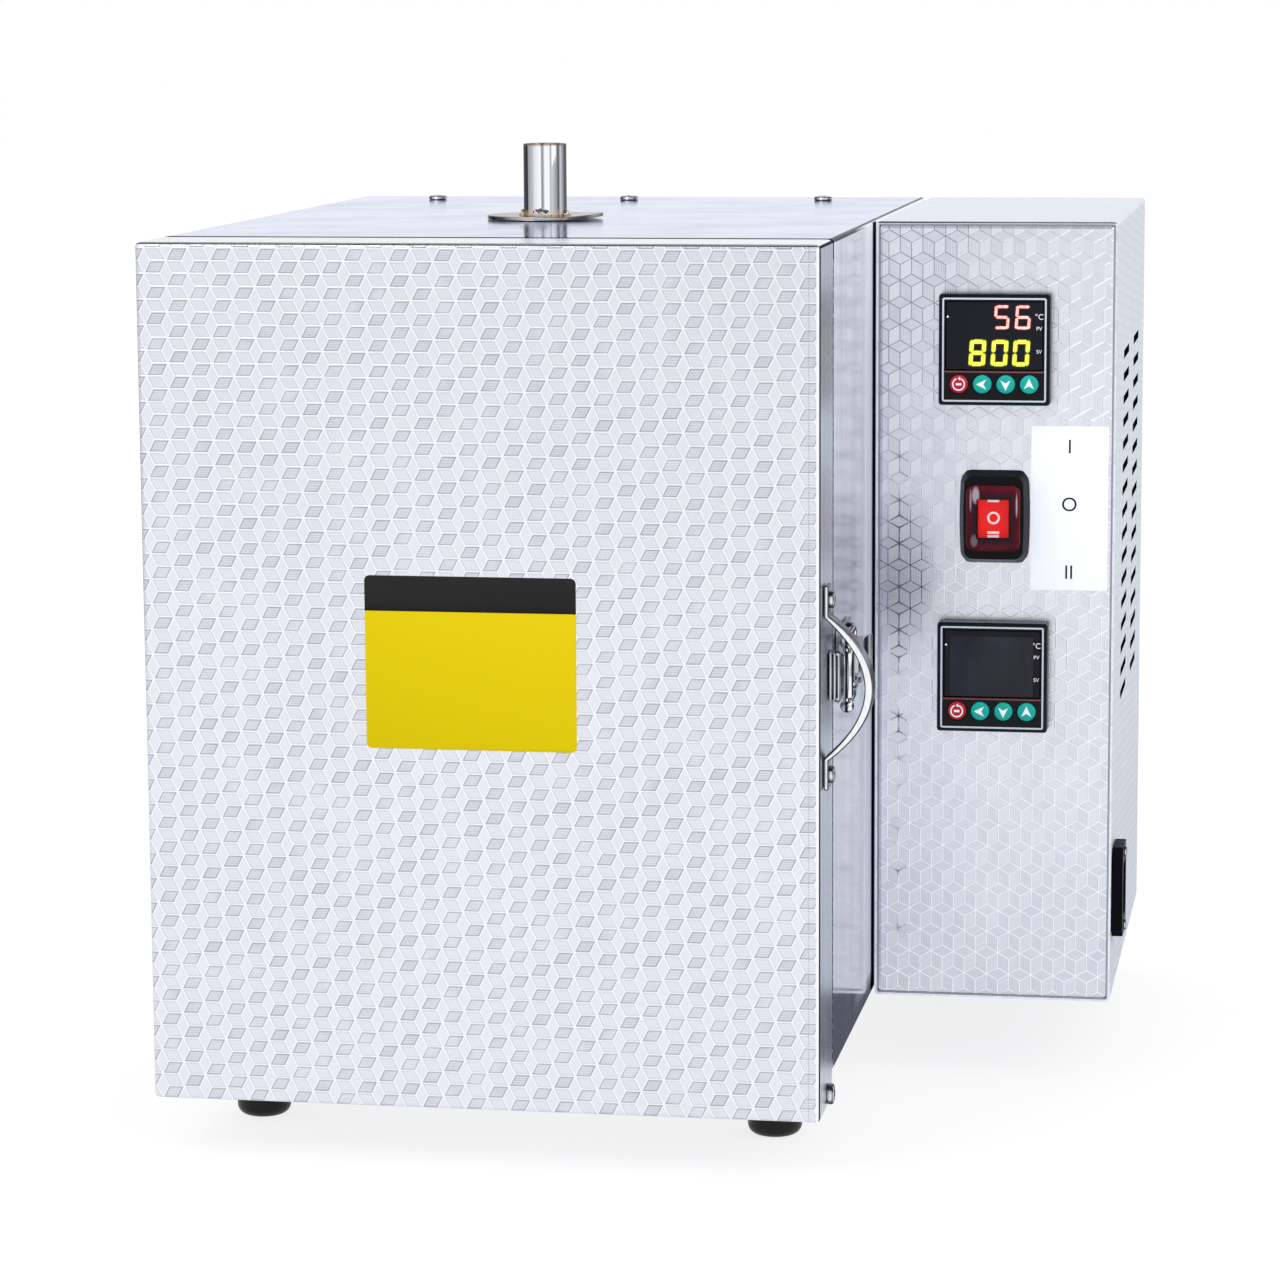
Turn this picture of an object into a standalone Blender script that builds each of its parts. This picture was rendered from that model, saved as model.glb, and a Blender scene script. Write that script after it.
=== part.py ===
"""Jewelry casting furnace: a small electric burnout furnace with a hinged door,
a ceramic-fibre chamber, a chimney and a control box on its right side.

Metres, +Z up. The door faces -Y, the control box is at +X, and the origin is on
the floor under the middle of the whole machine.
"""

import math

import bmesh
import bpy
from mathutils import Matrix, Vector

# Clearances and sheet metal
CLEARANCE = 0.0003
CUT_OVERRUN = 0.002
WELD_DISTANCE = 0.00001
SHEET = 0.001
FOLD_RADIUS = 0.0016
FOLD_SEGMENTS = 2
ROUND_STEPS = 20

# Casing of the furnace body
CASING_WIDTH = 0.278
CASING_HEIGHT = 0.342
CASING_DEPTH = 0.357
BASE_FLANGE = 0.016
PANEL_FLANGE = 0.014
WIRING_SPACE = 0.030

# Rubber feet
FOOT_HEIGHT = 0.036
FOOT_RADIUS = 0.0115
FOOT_COLLAR_RADIUS = 0.0125
FOOT_COLLAR_HEIGHT = 0.008
FOOT_STEP = 0.0015
FOOT_ROUND = 0.0045
FOOT_ROUND_STEPS = 3
FOOT_INSET = 0.028

# Ceramic-fibre chamber
FIBRE_FLOOR_THICKNESS = 0.058
FIBRE_BACK_THICKNESS = 0.050
CHAMBER_WIDTH = 0.170
CHAMBER_HEIGHT = 0.216
MOUTH_MARGIN = 0.001

# Heating elements, a wire laid to and fro in grooves of each side wall
ELEMENT_RADIUS = 0.0022
ELEMENT_PLAY = 0.0005
ELEMENT_SINK = 0.0015
ELEMENT_RUNS = 8
ELEMENT_BEND_STEPS = 5
ELEMENT_FRONT_MARGIN = 0.030
ELEMENT_REAR_MARGIN = 0.012
ELEMENT_SIDE_MARGIN = 0.022
ELEMENT_TAIL = 0.020
TERMINAL_WIDTH = 0.016
TERMINAL_DEPTH = 0.014
TERMINAL_END = 0.010

# Thermocouple, through the right wall from the control box
PROBE_RADIUS = 0.003
PROBE_REACH = 0.028
PROBE_RISE = 0.045
PROBE_HEAD_RADIUS = 0.0085
PROBE_HEAD_LENGTH = 0.016
PROBE_HEAD_EDGE = 0.0012

# Chimney
CHIMNEY_RADIUS = 0.0095
CHIMNEY_WALL = 0.0012
CHIMNEY_RISE = 0.033
CHIMNEY_FROM_LEFT = 0.1317
CHIMNEY_FROM_FRONT = 0.147
FLANGE_RADIUS = 0.0255
FLANGE_THICKNESS = 0.0015

# Door
DOOR_DEPTH = 0.040
DOOR_OVERHANG = 0.012
DOOR_GAP = 0.003
LINER_FLANGE = 0.012
PLUG_REACH = 0.015
PLUG_PLAY = 0.003
PLUG_TAPER = 0.002
GASKET_WIDTH = 0.010
GASKET_OFFSET = 0.006
GASKET_CORNER = 0.010

# Butt hinges on the left side
HINGE_LENGTH = 0.054
HINGE_FROM_END = 0.062
HINGE_LEAF = 0.026
HINGE_LEAF_THICKNESS = 0.0015
KNUCKLE_RADIUS = 0.0035
HINGE_PIN_RADIUS = 0.0017
HINGE_PIN_HEAD = 0.0028
HINGE_PIN_HEAD_LENGTH = 0.0015
KNUCKLE_SHARE = 1 / 3

# Bow handle on the right side of the door
HANDLE_SPAN = 0.083
HANDLE_FOOT = 0.013
HANDLE_RISE = 0.0185
HANDLE_FOOT_THICKNESS = 0.0018
HANDLE_THICKNESS = 0.0034
HANDLE_WIDTH = 0.010
HANDLE_FROM_FRONT = 0.014
HANDLE_DROP = 0.0005
HANDLE_STEPS = 12

# Toggle latch: base, lever and wire bail on the casing, keeper on the door
LATCH_RISE = 0.002
LATCH_PLATE = 0.0012
LATCH_BASE_LENGTH = 0.042
LATCH_BASE_FROM_SEAM = 0.006
LATCH_BASE_HALF = 0.015
LATCH_PIVOT_FROM_SEAM = 0.014
LATCH_PIVOT_HEIGHT = 0.0056
LATCH_PIN_RADIUS = 0.00125
LATCH_PIN_HEAD = 0.0022
LATCH_EAR_HALF = 0.0102
LATCH_EAR_REACH = 0.0045
LEVER_PLAY = 0.0006
LEVER_CHEEK_FRONT = 0.0025
LEVER_CHEEK_REACH = 0.0024
LEVER_CHEEK_LENGTH = 0.026
LEVER_WEB_FROM_PIVOT = 0.005
LEVER_LENGTH = 0.028
LEVER_TIP_RISE = 0.002
LEVER_TIP_LENGTH = 0.008
LEVER_STEPS = 5
BAIL_RADIUS = 0.0011
BAIL_ARM = 0.010
BAIL_HALF = 0.0142
BAIL_STUB = 0.0065
BAIL_CORNER = 0.002
BAIL_CORNER_STEPS = 3
BAIL_FROM_SEAM = 0.013
KEEPER_FRONT = 0.019
KEEPER_REAR = 0.007
KEEPER_HALF = 0.0105
KEEPER_HEIGHT = 0.005
KEEPER_LIP = 0.0045
KEEPER_WALL_FROM_REAR = 0.003

# Control box on the right
BOX_WIDTH = 0.104
BOX_DEPTH = 0.224
BOX_GAP = 0.002
SPACER_RADIUS = 0.008
SPACER_INSET = 0.030

# Ventilation slots in the right wall of the box
VENT_ROWS = 16
VENT_PITCH = 0.0102
VENT_HEIGHT = 0.0025
VENT_LENGTH = 0.036
VENT_FROM_TOP = 0.0615
VENT_COLUMNS_FROM_FRONT = (0.077, 0.157)
VENT_END_STEPS = 2

# Panel controllers
CONTROLLER_SIZE = 0.048
CONTROLLER_PROUD = 0.009
CONTROLLER_BODY = 0.0445
CONTROLLER_BODY_DEPTH = 0.078
CONTROLLER_EDGE = 0.0012
CONTROLLERS_FROM_TOP = (0.0545, 0.1972)
WINDOW_WIDTH = 0.0415
WINDOW_HEIGHT = 0.0290
WINDOW_THICKNESS = 0.0015
WINDOW_FROM_TOP = 0.0035
WINDOW_SINK = 0.0003
BUTTON_RADIUS = 0.0040
BUTTON_PLAY = 0.0003
BUTTON_PROUD = 0.0009
BUTTON_DEPTH = 0.0022
BUTTON_TRAVEL = 0.0005
BUTTON_EDGE = 0.0006
BUTTON_PITCH = 0.0101
BUTTON_FROM_BOTTOM = 0.0092
BUTTON_STEPS = 20
BUTTON_NAMES = ("set", "left", "down", "up")

# Rocker switch under a domed cover
SWITCH_WIDTH = 0.0306
SWITCH_HEIGHT = 0.0405
SWITCH_FROM_TOP = 0.1275
SWITCH_PROUD = 0.0065
SWITCH_CORNER = 0.005
SWITCH_DRAW = 0.0022
SWITCH_BODY_WIDTH = 0.0215
SWITCH_BODY_HEIGHT = 0.0275
SWITCH_BODY_DEPTH = 0.028
COVER_WIDTH = 0.0234
COVER_HEIGHT = 0.0285
COVER_RISE = 0.0040
COVER_WALL = 0.0008
COVER_ROUND = 0.0024
ROCKER_WIDTH = 0.0135
ROCKER_HEIGHT = 0.0173
ROCKER_PROUD = 0.0006
ROCKER_DIP = 0.0012
ROCKER_PIVOT_DEPTH = 0.0050
ROCKER_BACK_DEPTH = 0.0062
ROCKER_BACK_HEIGHT = 0.0120
ROCKER_TILT = math.radians(12)

# Power inlet in the right wall of the box
INLET_DEPTH = 0.028
INLET_HEIGHT = 0.040
INLET_PROUD = 0.005
INLET_FROM_FRONT = 0.0030
INLET_FROM_BOTTOM = 0.028
INLET_CHAMFER = 0.004
INLET_BODY_MARGIN = 0.0025
INLET_BODY_LENGTH = 0.019
SOCKET_DEPTH = 0.0165
SOCKET_WIDTH = 0.0175
SOCKET_HEIGHT = 0.0240
SOCKET_CHAMFER = 0.003
CONTACT_WIDTH = 0.004
CONTACT_THICKNESS = 0.002
CONTACT_LENGTH = 0.0125
CONTACT_PITCH = 0.007
CONTACT_OFFSET = 0.003
CONTACT_BASE = 0.0015

# Solid-state relay on the left wall inside the box
RELAY_LENGTH = 0.058
RELAY_WIDTH = 0.045
RELAY_DEPTH = 0.026
RELAY_FROM_BOTTOM = 0.040
RELAY_FROM_REAR = 0.030
RELAY_EDGE = 0.002

# Places that follow from the sizes above
HINGE_REACH = 2 * KNUCKLE_RADIUS + CLEARANCE
TOTAL_WIDTH = HINGE_REACH + CASING_WIDTH + BOX_GAP + BOX_WIDTH + INLET_PROUD
TOTAL_DEPTH = DOOR_DEPTH + DOOR_GAP + CASING_DEPTH
CASING_LEFT = HINGE_REACH - TOTAL_WIDTH / 2
CASING_RIGHT = CASING_LEFT + CASING_WIDTH
CASING_MIDDLE = (CASING_LEFT + CASING_RIGHT) / 2
CASING_REAR = TOTAL_DEPTH / 2
CASING_FRONT = CASING_REAR - CASING_DEPTH
CASING_BOTTOM = FOOT_HEIGHT
CASING_TOP = CASING_BOTTOM + CASING_HEIGHT
DOOR_REAR = CASING_FRONT - DOOR_GAP
DOOR_FRONT = DOOR_REAR - DOOR_DEPTH
DOOR_BOTTOM = CASING_BOTTOM - DOOR_OVERHANG
DOOR_MIDDLE = (DOOR_BOTTOM + CASING_TOP) / 2
BOX_LEFT = CASING_RIGHT + BOX_GAP
BOX_RIGHT = BOX_LEFT + BOX_WIDTH
BOX_MIDDLE = (BOX_LEFT + BOX_RIGHT) / 2
BOX_FRONT = CASING_REAR - BOX_DEPTH
SEAM = SHEET + CLEARANCE
FIBRE_LEFT = CASING_LEFT + 2 * SEAM
FIBRE_RIGHT = CASING_RIGHT - 2 * SEAM
FIBRE_FRONT = CASING_FRONT + SEAM
FIBRE_REAR = CASING_REAR - SHEET - WIRING_SPACE
FIBRE_BOTTOM = CASING_BOTTOM + SEAM
FIBRE_TOP = CASING_TOP - 2 * SEAM
CHAMBER_LEFT = CASING_MIDDLE - CHAMBER_WIDTH / 2
CHAMBER_RIGHT = CASING_MIDDLE + CHAMBER_WIDTH / 2
CHAMBER_BOTTOM = FIBRE_BOTTOM + FIBRE_FLOOR_THICKNESS
CHAMBER_TOP = CHAMBER_BOTTOM + CHAMBER_HEIGHT
CHAMBER_REAR = FIBRE_REAR - FIBRE_BACK_THICKNESS
CHAMBER_CENTRE = (CHAMBER_BOTTOM + CHAMBER_TOP) / 2
HINGE_X = CASING_LEFT - CLEARANCE - KNUCKLE_RADIUS
HINGE_Y = DOOR_REAR + DOOR_GAP / 2
LATCH_Z = DOOR_MIDDLE + LATCH_RISE
PIVOT_X = CASING_RIGHT + LATCH_PIVOT_HEIGHT
PIVOT_Y = CASING_FRONT + LATCH_PIVOT_FROM_SEAM
BAIL_Y = PIVOT_Y + BAIL_ARM
SWITCH_FACE = BOX_FRONT - SWITCH_PROUD
SWITCH_Z = CASING_TOP - SWITCH_FROM_TOP
PROBE_Y = (BOX_FRONT + CHAMBER_REAR) / 2
PROBE_Z = CHAMBER_CENTRE + PROBE_RISE


def clear_scene():
    """Remove every object that is in the scene at the start."""
    for obj in list(bpy.data.objects):
        bpy.data.objects.remove(obj, do_unlink=True)


def make_collection(name, hidden=False):
    """A new collection in the scene; a hidden one is for cutters and guides."""
    collection = bpy.data.collections.new(name)
    bpy.context.scene.collection.children.link(collection)
    collection.hide_render = hidden
    return collection


clear_scene()
PARTS = make_collection("jewelry_casting_furnace")
CUTTERS = make_collection("cutters", hidden=True)


def make_material(name, colour, roughness, metallic=0.0, alpha=1.0):
    """Principled BSDF with a base colour, roughness and metallic value."""
    material = bpy.data.materials.new(name)
    material.use_nodes = True
    shader = material.node_tree.nodes["Principled BSDF"]
    shader.inputs["Base Color"].default_value = (*colour, 1.0)
    shader.inputs["Roughness"].default_value = roughness
    shader.inputs["Metallic"].default_value = metallic
    shader.inputs["Alpha"].default_value = alpha
    return material


def embossed_steel(name):
    return make_material(name, (0.78, 0.80, 0.84), 0.28, 1.0)


def bright_steel(name):
    return make_material(name, (0.70, 0.72, 0.76), 0.15, 1.0)


def fibre_board(name):
    return make_material(name, (0.90, 0.88, 0.84), 0.95)


def black_plastic(name):
    return make_material(name, (0.015, 0.015, 0.018), 0.35)


def black_rubber(name):
    return make_material(name, (0.01, 0.01, 0.01), 0.7)


def element_wire(name):
    return make_material(name, (0.25, 0.23, 0.22), 0.6, 0.8)


def glazed_ceramic(name):
    return make_material(name, (0.86, 0.84, 0.78), 0.3)


def dark_window(name):
    return make_material(name, (0.02, 0.02, 0.025), 0.08)


def translucent_red(name):
    return make_material(name, (0.25, 0.02, 0.02), 0.2, alpha=0.45)


def plain_plastic(name, colour):
    return make_material(name, colour, 0.4)


def finish_object(name, mesh, origin, material=None, parent=None):
    """Link a mesh given in world coordinates, with its object's origin at a point."""
    mesh.transform(Matrix.Translation(-Vector(origin)))
    obj = bpy.data.objects.new(name, mesh)
    obj.location = origin
    if material is None:
        CUTTERS.objects.link(obj)
        obj.hide_render = True
        obj.display_type = "WIRE"
        return obj
    PARTS.objects.link(obj)
    mesh.materials.append(material)
    mesh.shade_smooth()
    mesh.set_sharp_from_angle(angle=math.radians(35))
    if parent is not None:
        obj.parent = parent
        obj.matrix_parent_inverse = Matrix.Translation(-parent.location)
    return obj


def mesh_from(name, bm):
    """Turn a bmesh into a mesh with outward normals."""
    bmesh.ops.recalc_face_normals(bm, faces=bm.faces)
    mesh = bpy.data.meshes.new(name)
    bm.to_mesh(mesh)
    bm.free()
    return mesh


def axis_marker(name, location):
    """Empty on a joint's axis, the parent of what turns or slides there."""
    marker = bpy.data.objects.new(name, None)
    marker.location = location
    PARTS.objects.link(marker)
    return marker


def centre_of(low, high):
    return (Vector(low) + Vector(high)) / 2


def add_box(bm, low, high):
    """Add a box from one corner to the opposite one; returns its vertices."""
    low, high = Vector(low), Vector(high)
    made = bmesh.ops.create_cube(bm, size=1)["verts"]
    bmesh.ops.scale(bm, vec=high - low, verts=made)
    bmesh.ops.translate(bm, vec=(low + high) / 2, verts=made)
    return made


def add_rounded_box(bm, low, high, axis, radius, steps):
    """Add a box whose four edges along one axis are rounded off."""
    made = set(add_box(bm, low, high))
    edges = []
    for edge in bm.edges:
        if edge.verts[0] not in made:
            continue
        direction = (edge.verts[1].co - edge.verts[0].co).normalized()
        if abs(direction[axis]) > 0.5:
            edges.append(edge)
    bmesh.ops.bevel(
        bm, geom=edges, offset=radius, segments=steps, affect="EDGES", profile=0.5
    )


def add_cylinder(bm, centre, radius, length, axis, steps=ROUND_STEPS):
    """Add a capped cylinder centred on a point, along axis 0, 1 or 2."""
    turns = (
        Matrix.Rotation(math.pi / 2, 4, "Y"),
        Matrix.Rotation(math.pi / 2, 4, "X"),
        Matrix.Identity(4),
    )
    bmesh.ops.create_cone(
        bm,
        cap_ends=True,
        segments=steps,
        radius1=radius,
        radius2=radius,
        depth=length,
        matrix=Matrix.Translation(centre) @ turns[axis],
    )


def make_box(name, low, high, material=None, parent=None, edge=0.0, origin=None):
    """A plain box, or one with all its edges rounded by a Bevel modifier."""
    bm = bmesh.new()
    add_box(bm, low, high)
    place = origin or centre_of(low, high)
    obj = finish_object(name, mesh_from(name, bm), place, material, parent)
    if edge:
        add_bevel(obj, edge)
    return obj


def make_rounded_box(name, low, high, axis, radius, steps, material=None, parent=None):
    """A box with rounded edges along one axis."""
    bm = bmesh.new()
    add_rounded_box(bm, low, high, axis, radius, steps)
    place = centre_of(low, high)
    return finish_object(name, mesh_from(name, bm), place, material, parent)


def make_cylinder(name, centre, radius, length, axis, material=None, parent=None,
                  steps=ROUND_STEPS):
    """A capped cylinder as an object of its own."""
    bm = bmesh.new()
    add_cylinder(bm, centre, radius, length, axis, steps)
    return finish_object(name, mesh_from(name, bm), centre, material, parent)


def add_bevel(obj, width, segments=2):
    """Rounded edges, for edges sharper than the limit angle."""
    bevel = obj.modifiers.new("rounded_edges", "BEVEL")
    bevel.width = width
    bevel.segments = segments
    bevel.limit_method = "ANGLE"
    bevel.angle_limit = math.radians(40)


def cut(target, cutter):
    """Take one solid out of another."""
    boolean = target.modifiers.new("cut_" + cutter.name, "BOOLEAN")
    boolean.operation = "DIFFERENCE"
    boolean.object = cutter


def join(target, other):
    """Fuse a helper solid with a piece."""
    boolean = target.modifiers.new("join_" + other.name, "BOOLEAN")
    boolean.operation = "UNION"
    boolean.object = other


def make_shell(name, low, high, open_sides, material, parent=None, wall=SHEET,
               fold=FOLD_RADIUS, segments=FOLD_SEGMENTS):
    """Folded sheet round a box, open on the named sides such as "-y"."""
    bm = bmesh.new()
    add_box(bm, low, high)
    gone = []
    for face in bm.faces:
        face.normal_update()
        axis = max(range(3), key=lambda i: abs(face.normal[i]))
        side = ("+" if face.normal[axis] > 0 else "-") + "xyz"[axis]
        if side in open_sides:
            gone.append(face)
    bmesh.ops.delete(bm, geom=gone, context="FACES")
    folds = [edge for edge in bm.edges if len(edge.link_faces) == 2]
    bmesh.ops.bevel(
        bm, geom=folds, offset=fold, segments=segments, affect="EDGES", profile=0.5
    )
    mesh = bpy.data.meshes.new(name)
    bm.to_mesh(mesh)
    bm.free()
    obj = finish_object(name, mesh, centre_of(low, high), material, parent)
    sheet = obj.modifiers.new("sheet", "SOLIDIFY")
    sheet.thickness = wall
    sheet.offset = -1
    sheet.use_even_offset = True
    return obj


def make_turned(name, profile, location, material=None, parent=None,
                closed=False, steps=ROUND_STEPS, turn=(0.0, 0.0, 0.0)):
    """Profile of (radius, height) points, outer side top to bottom, turned round Z."""
    mesh = bpy.data.meshes.new(name)
    edges = [(i, i + 1) for i in range(len(profile) - 1)]
    if closed:
        edges.append((len(profile) - 1, 0))
    mesh.from_pydata([(radius, 0.0, height) for radius, height in profile], edges, [])
    obj = finish_object(name, mesh, (0.0, 0.0, 0.0), material, parent)
    obj.location = location
    obj.rotation_euler = turn
    screw = obj.modifiers.new("turned", "SCREW")
    screw.steps = steps
    screw.render_steps = steps
    screw.use_merge_vertices = True
    screw.merge_threshold = WELD_DISTANCE
    screw.use_smooth_shade = True
    return obj


def mesh_of_curve(name, curve):
    """Mesh of a curve datablock with its caps welded on."""
    guide = bpy.data.objects.new(name, curve)
    CUTTERS.objects.link(guide)
    bpy.context.view_layer.update()
    graph = bpy.context.evaluated_depsgraph_get()
    mesh = bpy.data.meshes.new_from_object(guide.evaluated_get(graph))
    bpy.data.objects.remove(guide, do_unlink=True)
    bm = bmesh.new()
    bm.from_mesh(mesh)
    bmesh.ops.remove_doubles(bm, verts=bm.verts, dist=WELD_DISTANCE)
    bmesh.ops.recalc_face_normals(bm, faces=bm.faces)
    bm.to_mesh(mesh)
    bm.free()
    mesh.materials.clear()
    return mesh


def tube_mesh(name, points, radius, resolution=1):
    """Round tube along a list of points, with filled ends."""
    curve = bpy.data.curves.new(name, "CURVE")
    curve.dimensions = "3D"
    curve.bevel_depth = radius
    curve.bevel_resolution = resolution
    curve.use_fill_caps = True
    spline = curve.splines.new("POLY")
    spline.points.add(len(points) - 1)
    for slot, point in zip(spline.points, points):
        slot.co = (*point, 1.0)
    return mesh_of_curve(name, curve)


def outline_mesh(name, outlines, depth):
    """Flat outlines in the local XY plane, filled and drawn out along local Z."""
    curve = bpy.data.curves.new(name, "CURVE")
    curve.dimensions = "2D"
    curve.fill_mode = "BOTH"
    curve.extrude = depth / 2
    for outline in outlines:
        spline = curve.splines.new("POLY")
        spline.points.add(len(outline) - 1)
        spline.use_cyclic_u = True
        for slot, point in zip(spline.points, outline):
            slot.co = (point[0], point[1], 0.0, 1.0)
    return mesh_of_curve(name, curve)


def arc(centre, radius, start, end, steps):
    """Points of an arc between two angles, both ends included."""
    points = []
    for i in range(steps + 1):
        angle = start + (end - start) * i / steps
        points.append(
            (centre[0] + radius * math.cos(angle), centre[1] + radius * math.sin(angle))
        )
    return points


# Casing and its feet


def build_casing():
    """Wrap, base pan, back panel and front frame of the furnace body."""
    wrap = make_shell(
        "casing_wrap",
        (CASING_LEFT, CASING_FRONT, CASING_BOTTOM),
        (CASING_RIGHT, CASING_REAR, CASING_TOP),
        ("-y", "+y", "-z"),
        bright_steel("casing_wrap_steel"),
    )
    make_shell(
        "casing_base",
        (CASING_LEFT + SEAM, CASING_FRONT, CASING_BOTTOM),
        (CASING_RIGHT - SEAM, CASING_REAR, CASING_BOTTOM + BASE_FLANGE),
        ("+z",),
        bright_steel("casing_base_steel"),
    )
    panel_bottom = CASING_BOTTOM + BASE_FLANGE + CLEARANCE
    frame = make_shell(
        "front_frame",
        (CASING_LEFT + SEAM, CASING_FRONT, panel_bottom),
        (CASING_RIGHT - SEAM, CASING_FRONT + PANEL_FLANGE, CASING_TOP - SEAM),
        ("+y", "-z"),
        bright_steel("front_frame_steel"),
    )
    make_shell(
        "casing_back_panel",
        (CASING_LEFT + SEAM, CASING_REAR - PANEL_FLANGE, panel_bottom),
        (CASING_RIGHT - SEAM, CASING_REAR, CASING_TOP - SEAM),
        ("-y", "-z"),
        bright_steel("casing_back_panel_steel"),
    )
    mouth = make_box(
        "cutter_mouth",
        (CHAMBER_LEFT - MOUTH_MARGIN, CASING_FRONT - CUT_OVERRUN,
         CHAMBER_BOTTOM - MOUTH_MARGIN),
        (CHAMBER_RIGHT + MOUTH_MARGIN, FIBRE_FRONT + CUT_OVERRUN,
         CHAMBER_TOP + MOUTH_MARGIN),
    )
    cut(frame, mouth)
    return wrap


def build_feet():
    """Four turned rubber feet under the base pan."""
    top = FOOT_HEIGHT - CLEARANCE
    profile = [
        (0.0, top),
        (FOOT_COLLAR_RADIUS, top),
        (FOOT_COLLAR_RADIUS, top - FOOT_COLLAR_HEIGHT),
        (FOOT_RADIUS, top - FOOT_COLLAR_HEIGHT - FOOT_STEP),
    ]
    middle = (FOOT_RADIUS - FOOT_ROUND, FOOT_ROUND)
    profile += arc(middle, FOOT_ROUND, 0.0, -math.pi / 2, FOOT_ROUND_STEPS)
    profile.append((0.0, 0.0))
    for row, y in (("front", CASING_FRONT + FOOT_INSET), ("rear", CASING_REAR - FOOT_INSET)):
        for side, x in (("left", CASING_LEFT + FOOT_INSET), ("right", CASING_RIGHT - FOOT_INSET)):
            name = "foot_" + row + "_" + side
            make_turned(name, profile, (x, y, 0.0), black_rubber(name + "_rubber"))


# Heated chamber, chimney and probe


def element_path(side):
    """Centre line of the wire on one side wall: runs joined by half-round bends."""
    x = CASING_MIDDLE + side * (CHAMBER_WIDTH / 2 + ELEMENT_SINK)
    low = CHAMBER_BOTTOM + ELEMENT_SIDE_MARGIN
    high = CHAMBER_TOP - ELEMENT_SIDE_MARGIN
    pitch = (high - low) / (ELEMENT_RUNS - 1)
    front = FIBRE_FRONT + ELEMENT_FRONT_MARGIN + pitch / 2
    rear = CHAMBER_REAR - ELEMENT_REAR_MARGIN - pitch / 2
    points = [(x, FIBRE_REAR + ELEMENT_TAIL, low)]
    for run in range(ELEMENT_RUNS - 1):
        at_front = run % 2 == 0
        middle = (front if at_front else rear, low + (run + 0.5) * pitch)
        start = -math.pi / 2
        end = -3 * math.pi / 2 if at_front else math.pi / 2
        for y, z in arc(middle, pitch / 2, start, end, ELEMENT_BEND_STEPS):
            points.append((x, y, z))
    points.append((x, FIBRE_REAR + ELEMENT_TAIL, high))
    return points


def build_element(side, name):
    """Heating wire of one side wall; returns the cutter for its groove."""
    path = element_path(side)
    x = path[0][0]
    place = (x, (FIBRE_FRONT + CHAMBER_REAR) / 2, CHAMBER_CENTRE)
    mesh = tube_mesh(name, path, ELEMENT_RADIUS)
    finish_object(name, mesh, place, element_wire(name + "_alloy"))
    groove = tube_mesh("cutter_" + name, path, ELEMENT_RADIUS + ELEMENT_PLAY)
    return finish_object("cutter_" + name, groove, place)


def build_terminals(side, name):
    """Porcelain strip behind the fibre that holds both tails of one element."""
    path = element_path(side)
    x, tail, low = path[0]
    high = path[-1][2]
    y = FIBRE_REAR + CLEARANCE
    strip = make_rounded_box(
        name,
        (x - TERMINAL_WIDTH / 2, y, low - TERMINAL_END),
        (x + TERMINAL_WIDTH / 2, y + TERMINAL_DEPTH, high + TERMINAL_END),
        1, TERMINAL_WIDTH / 4, 2,
        glazed_ceramic(name + "_porcelain"),
    )
    bm = bmesh.new()
    for z in (low, high):
        add_cylinder(
            bm, (x, y + TERMINAL_DEPTH / 2, z), ELEMENT_RADIUS + ELEMENT_PLAY,
            TERMINAL_DEPTH + 2 * CUT_OVERRUN, 1,
        )
    holes = finish_object("cutter_" + name, mesh_from("cutter_" + name, bm), (x, tail, low))
    cut(strip, holes)


def build_chamber():
    """Five fibre boards round the chamber, with the grooves and bores in them."""
    inner_bottom = CHAMBER_BOTTOM + CLEARANCE
    wall_top = CHAMBER_TOP - CLEARANCE
    make_box(
        "fibre_floor",
        (FIBRE_LEFT, FIBRE_FRONT, FIBRE_BOTTOM),
        (FIBRE_RIGHT, FIBRE_REAR, CHAMBER_BOTTOM),
        fibre_board("fibre_floor_board"),
    )
    roof = make_box(
        "fibre_roof",
        (FIBRE_LEFT, FIBRE_FRONT, CHAMBER_TOP),
        (FIBRE_RIGHT, FIBRE_REAR, FIBRE_TOP),
        fibre_board("fibre_roof_board"),
    )
    left = make_box(
        "fibre_left_wall",
        (FIBRE_LEFT, FIBRE_FRONT, inner_bottom),
        (CHAMBER_LEFT, FIBRE_REAR, wall_top),
        fibre_board("fibre_left_wall_board"),
    )
    right = make_box(
        "fibre_right_wall",
        (CHAMBER_RIGHT, FIBRE_FRONT, inner_bottom),
        (FIBRE_RIGHT, FIBRE_REAR, wall_top),
        fibre_board("fibre_right_wall_board"),
    )
    back = make_box(
        "fibre_back_wall",
        (CHAMBER_LEFT + CLEARANCE, CHAMBER_REAR, inner_bottom),
        (CHAMBER_RIGHT - CLEARANCE, FIBRE_REAR, wall_top),
        fibre_board("fibre_back_wall_board"),
    )
    for side, wall, word in ((-1, left, "left"), (1, right, "right")):
        groove = build_element(side, "heating_element_" + word)
        cut(wall, groove)
        cut(back, groove)
        build_terminals(side, "element_terminals_" + word)
    return roof, right


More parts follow.
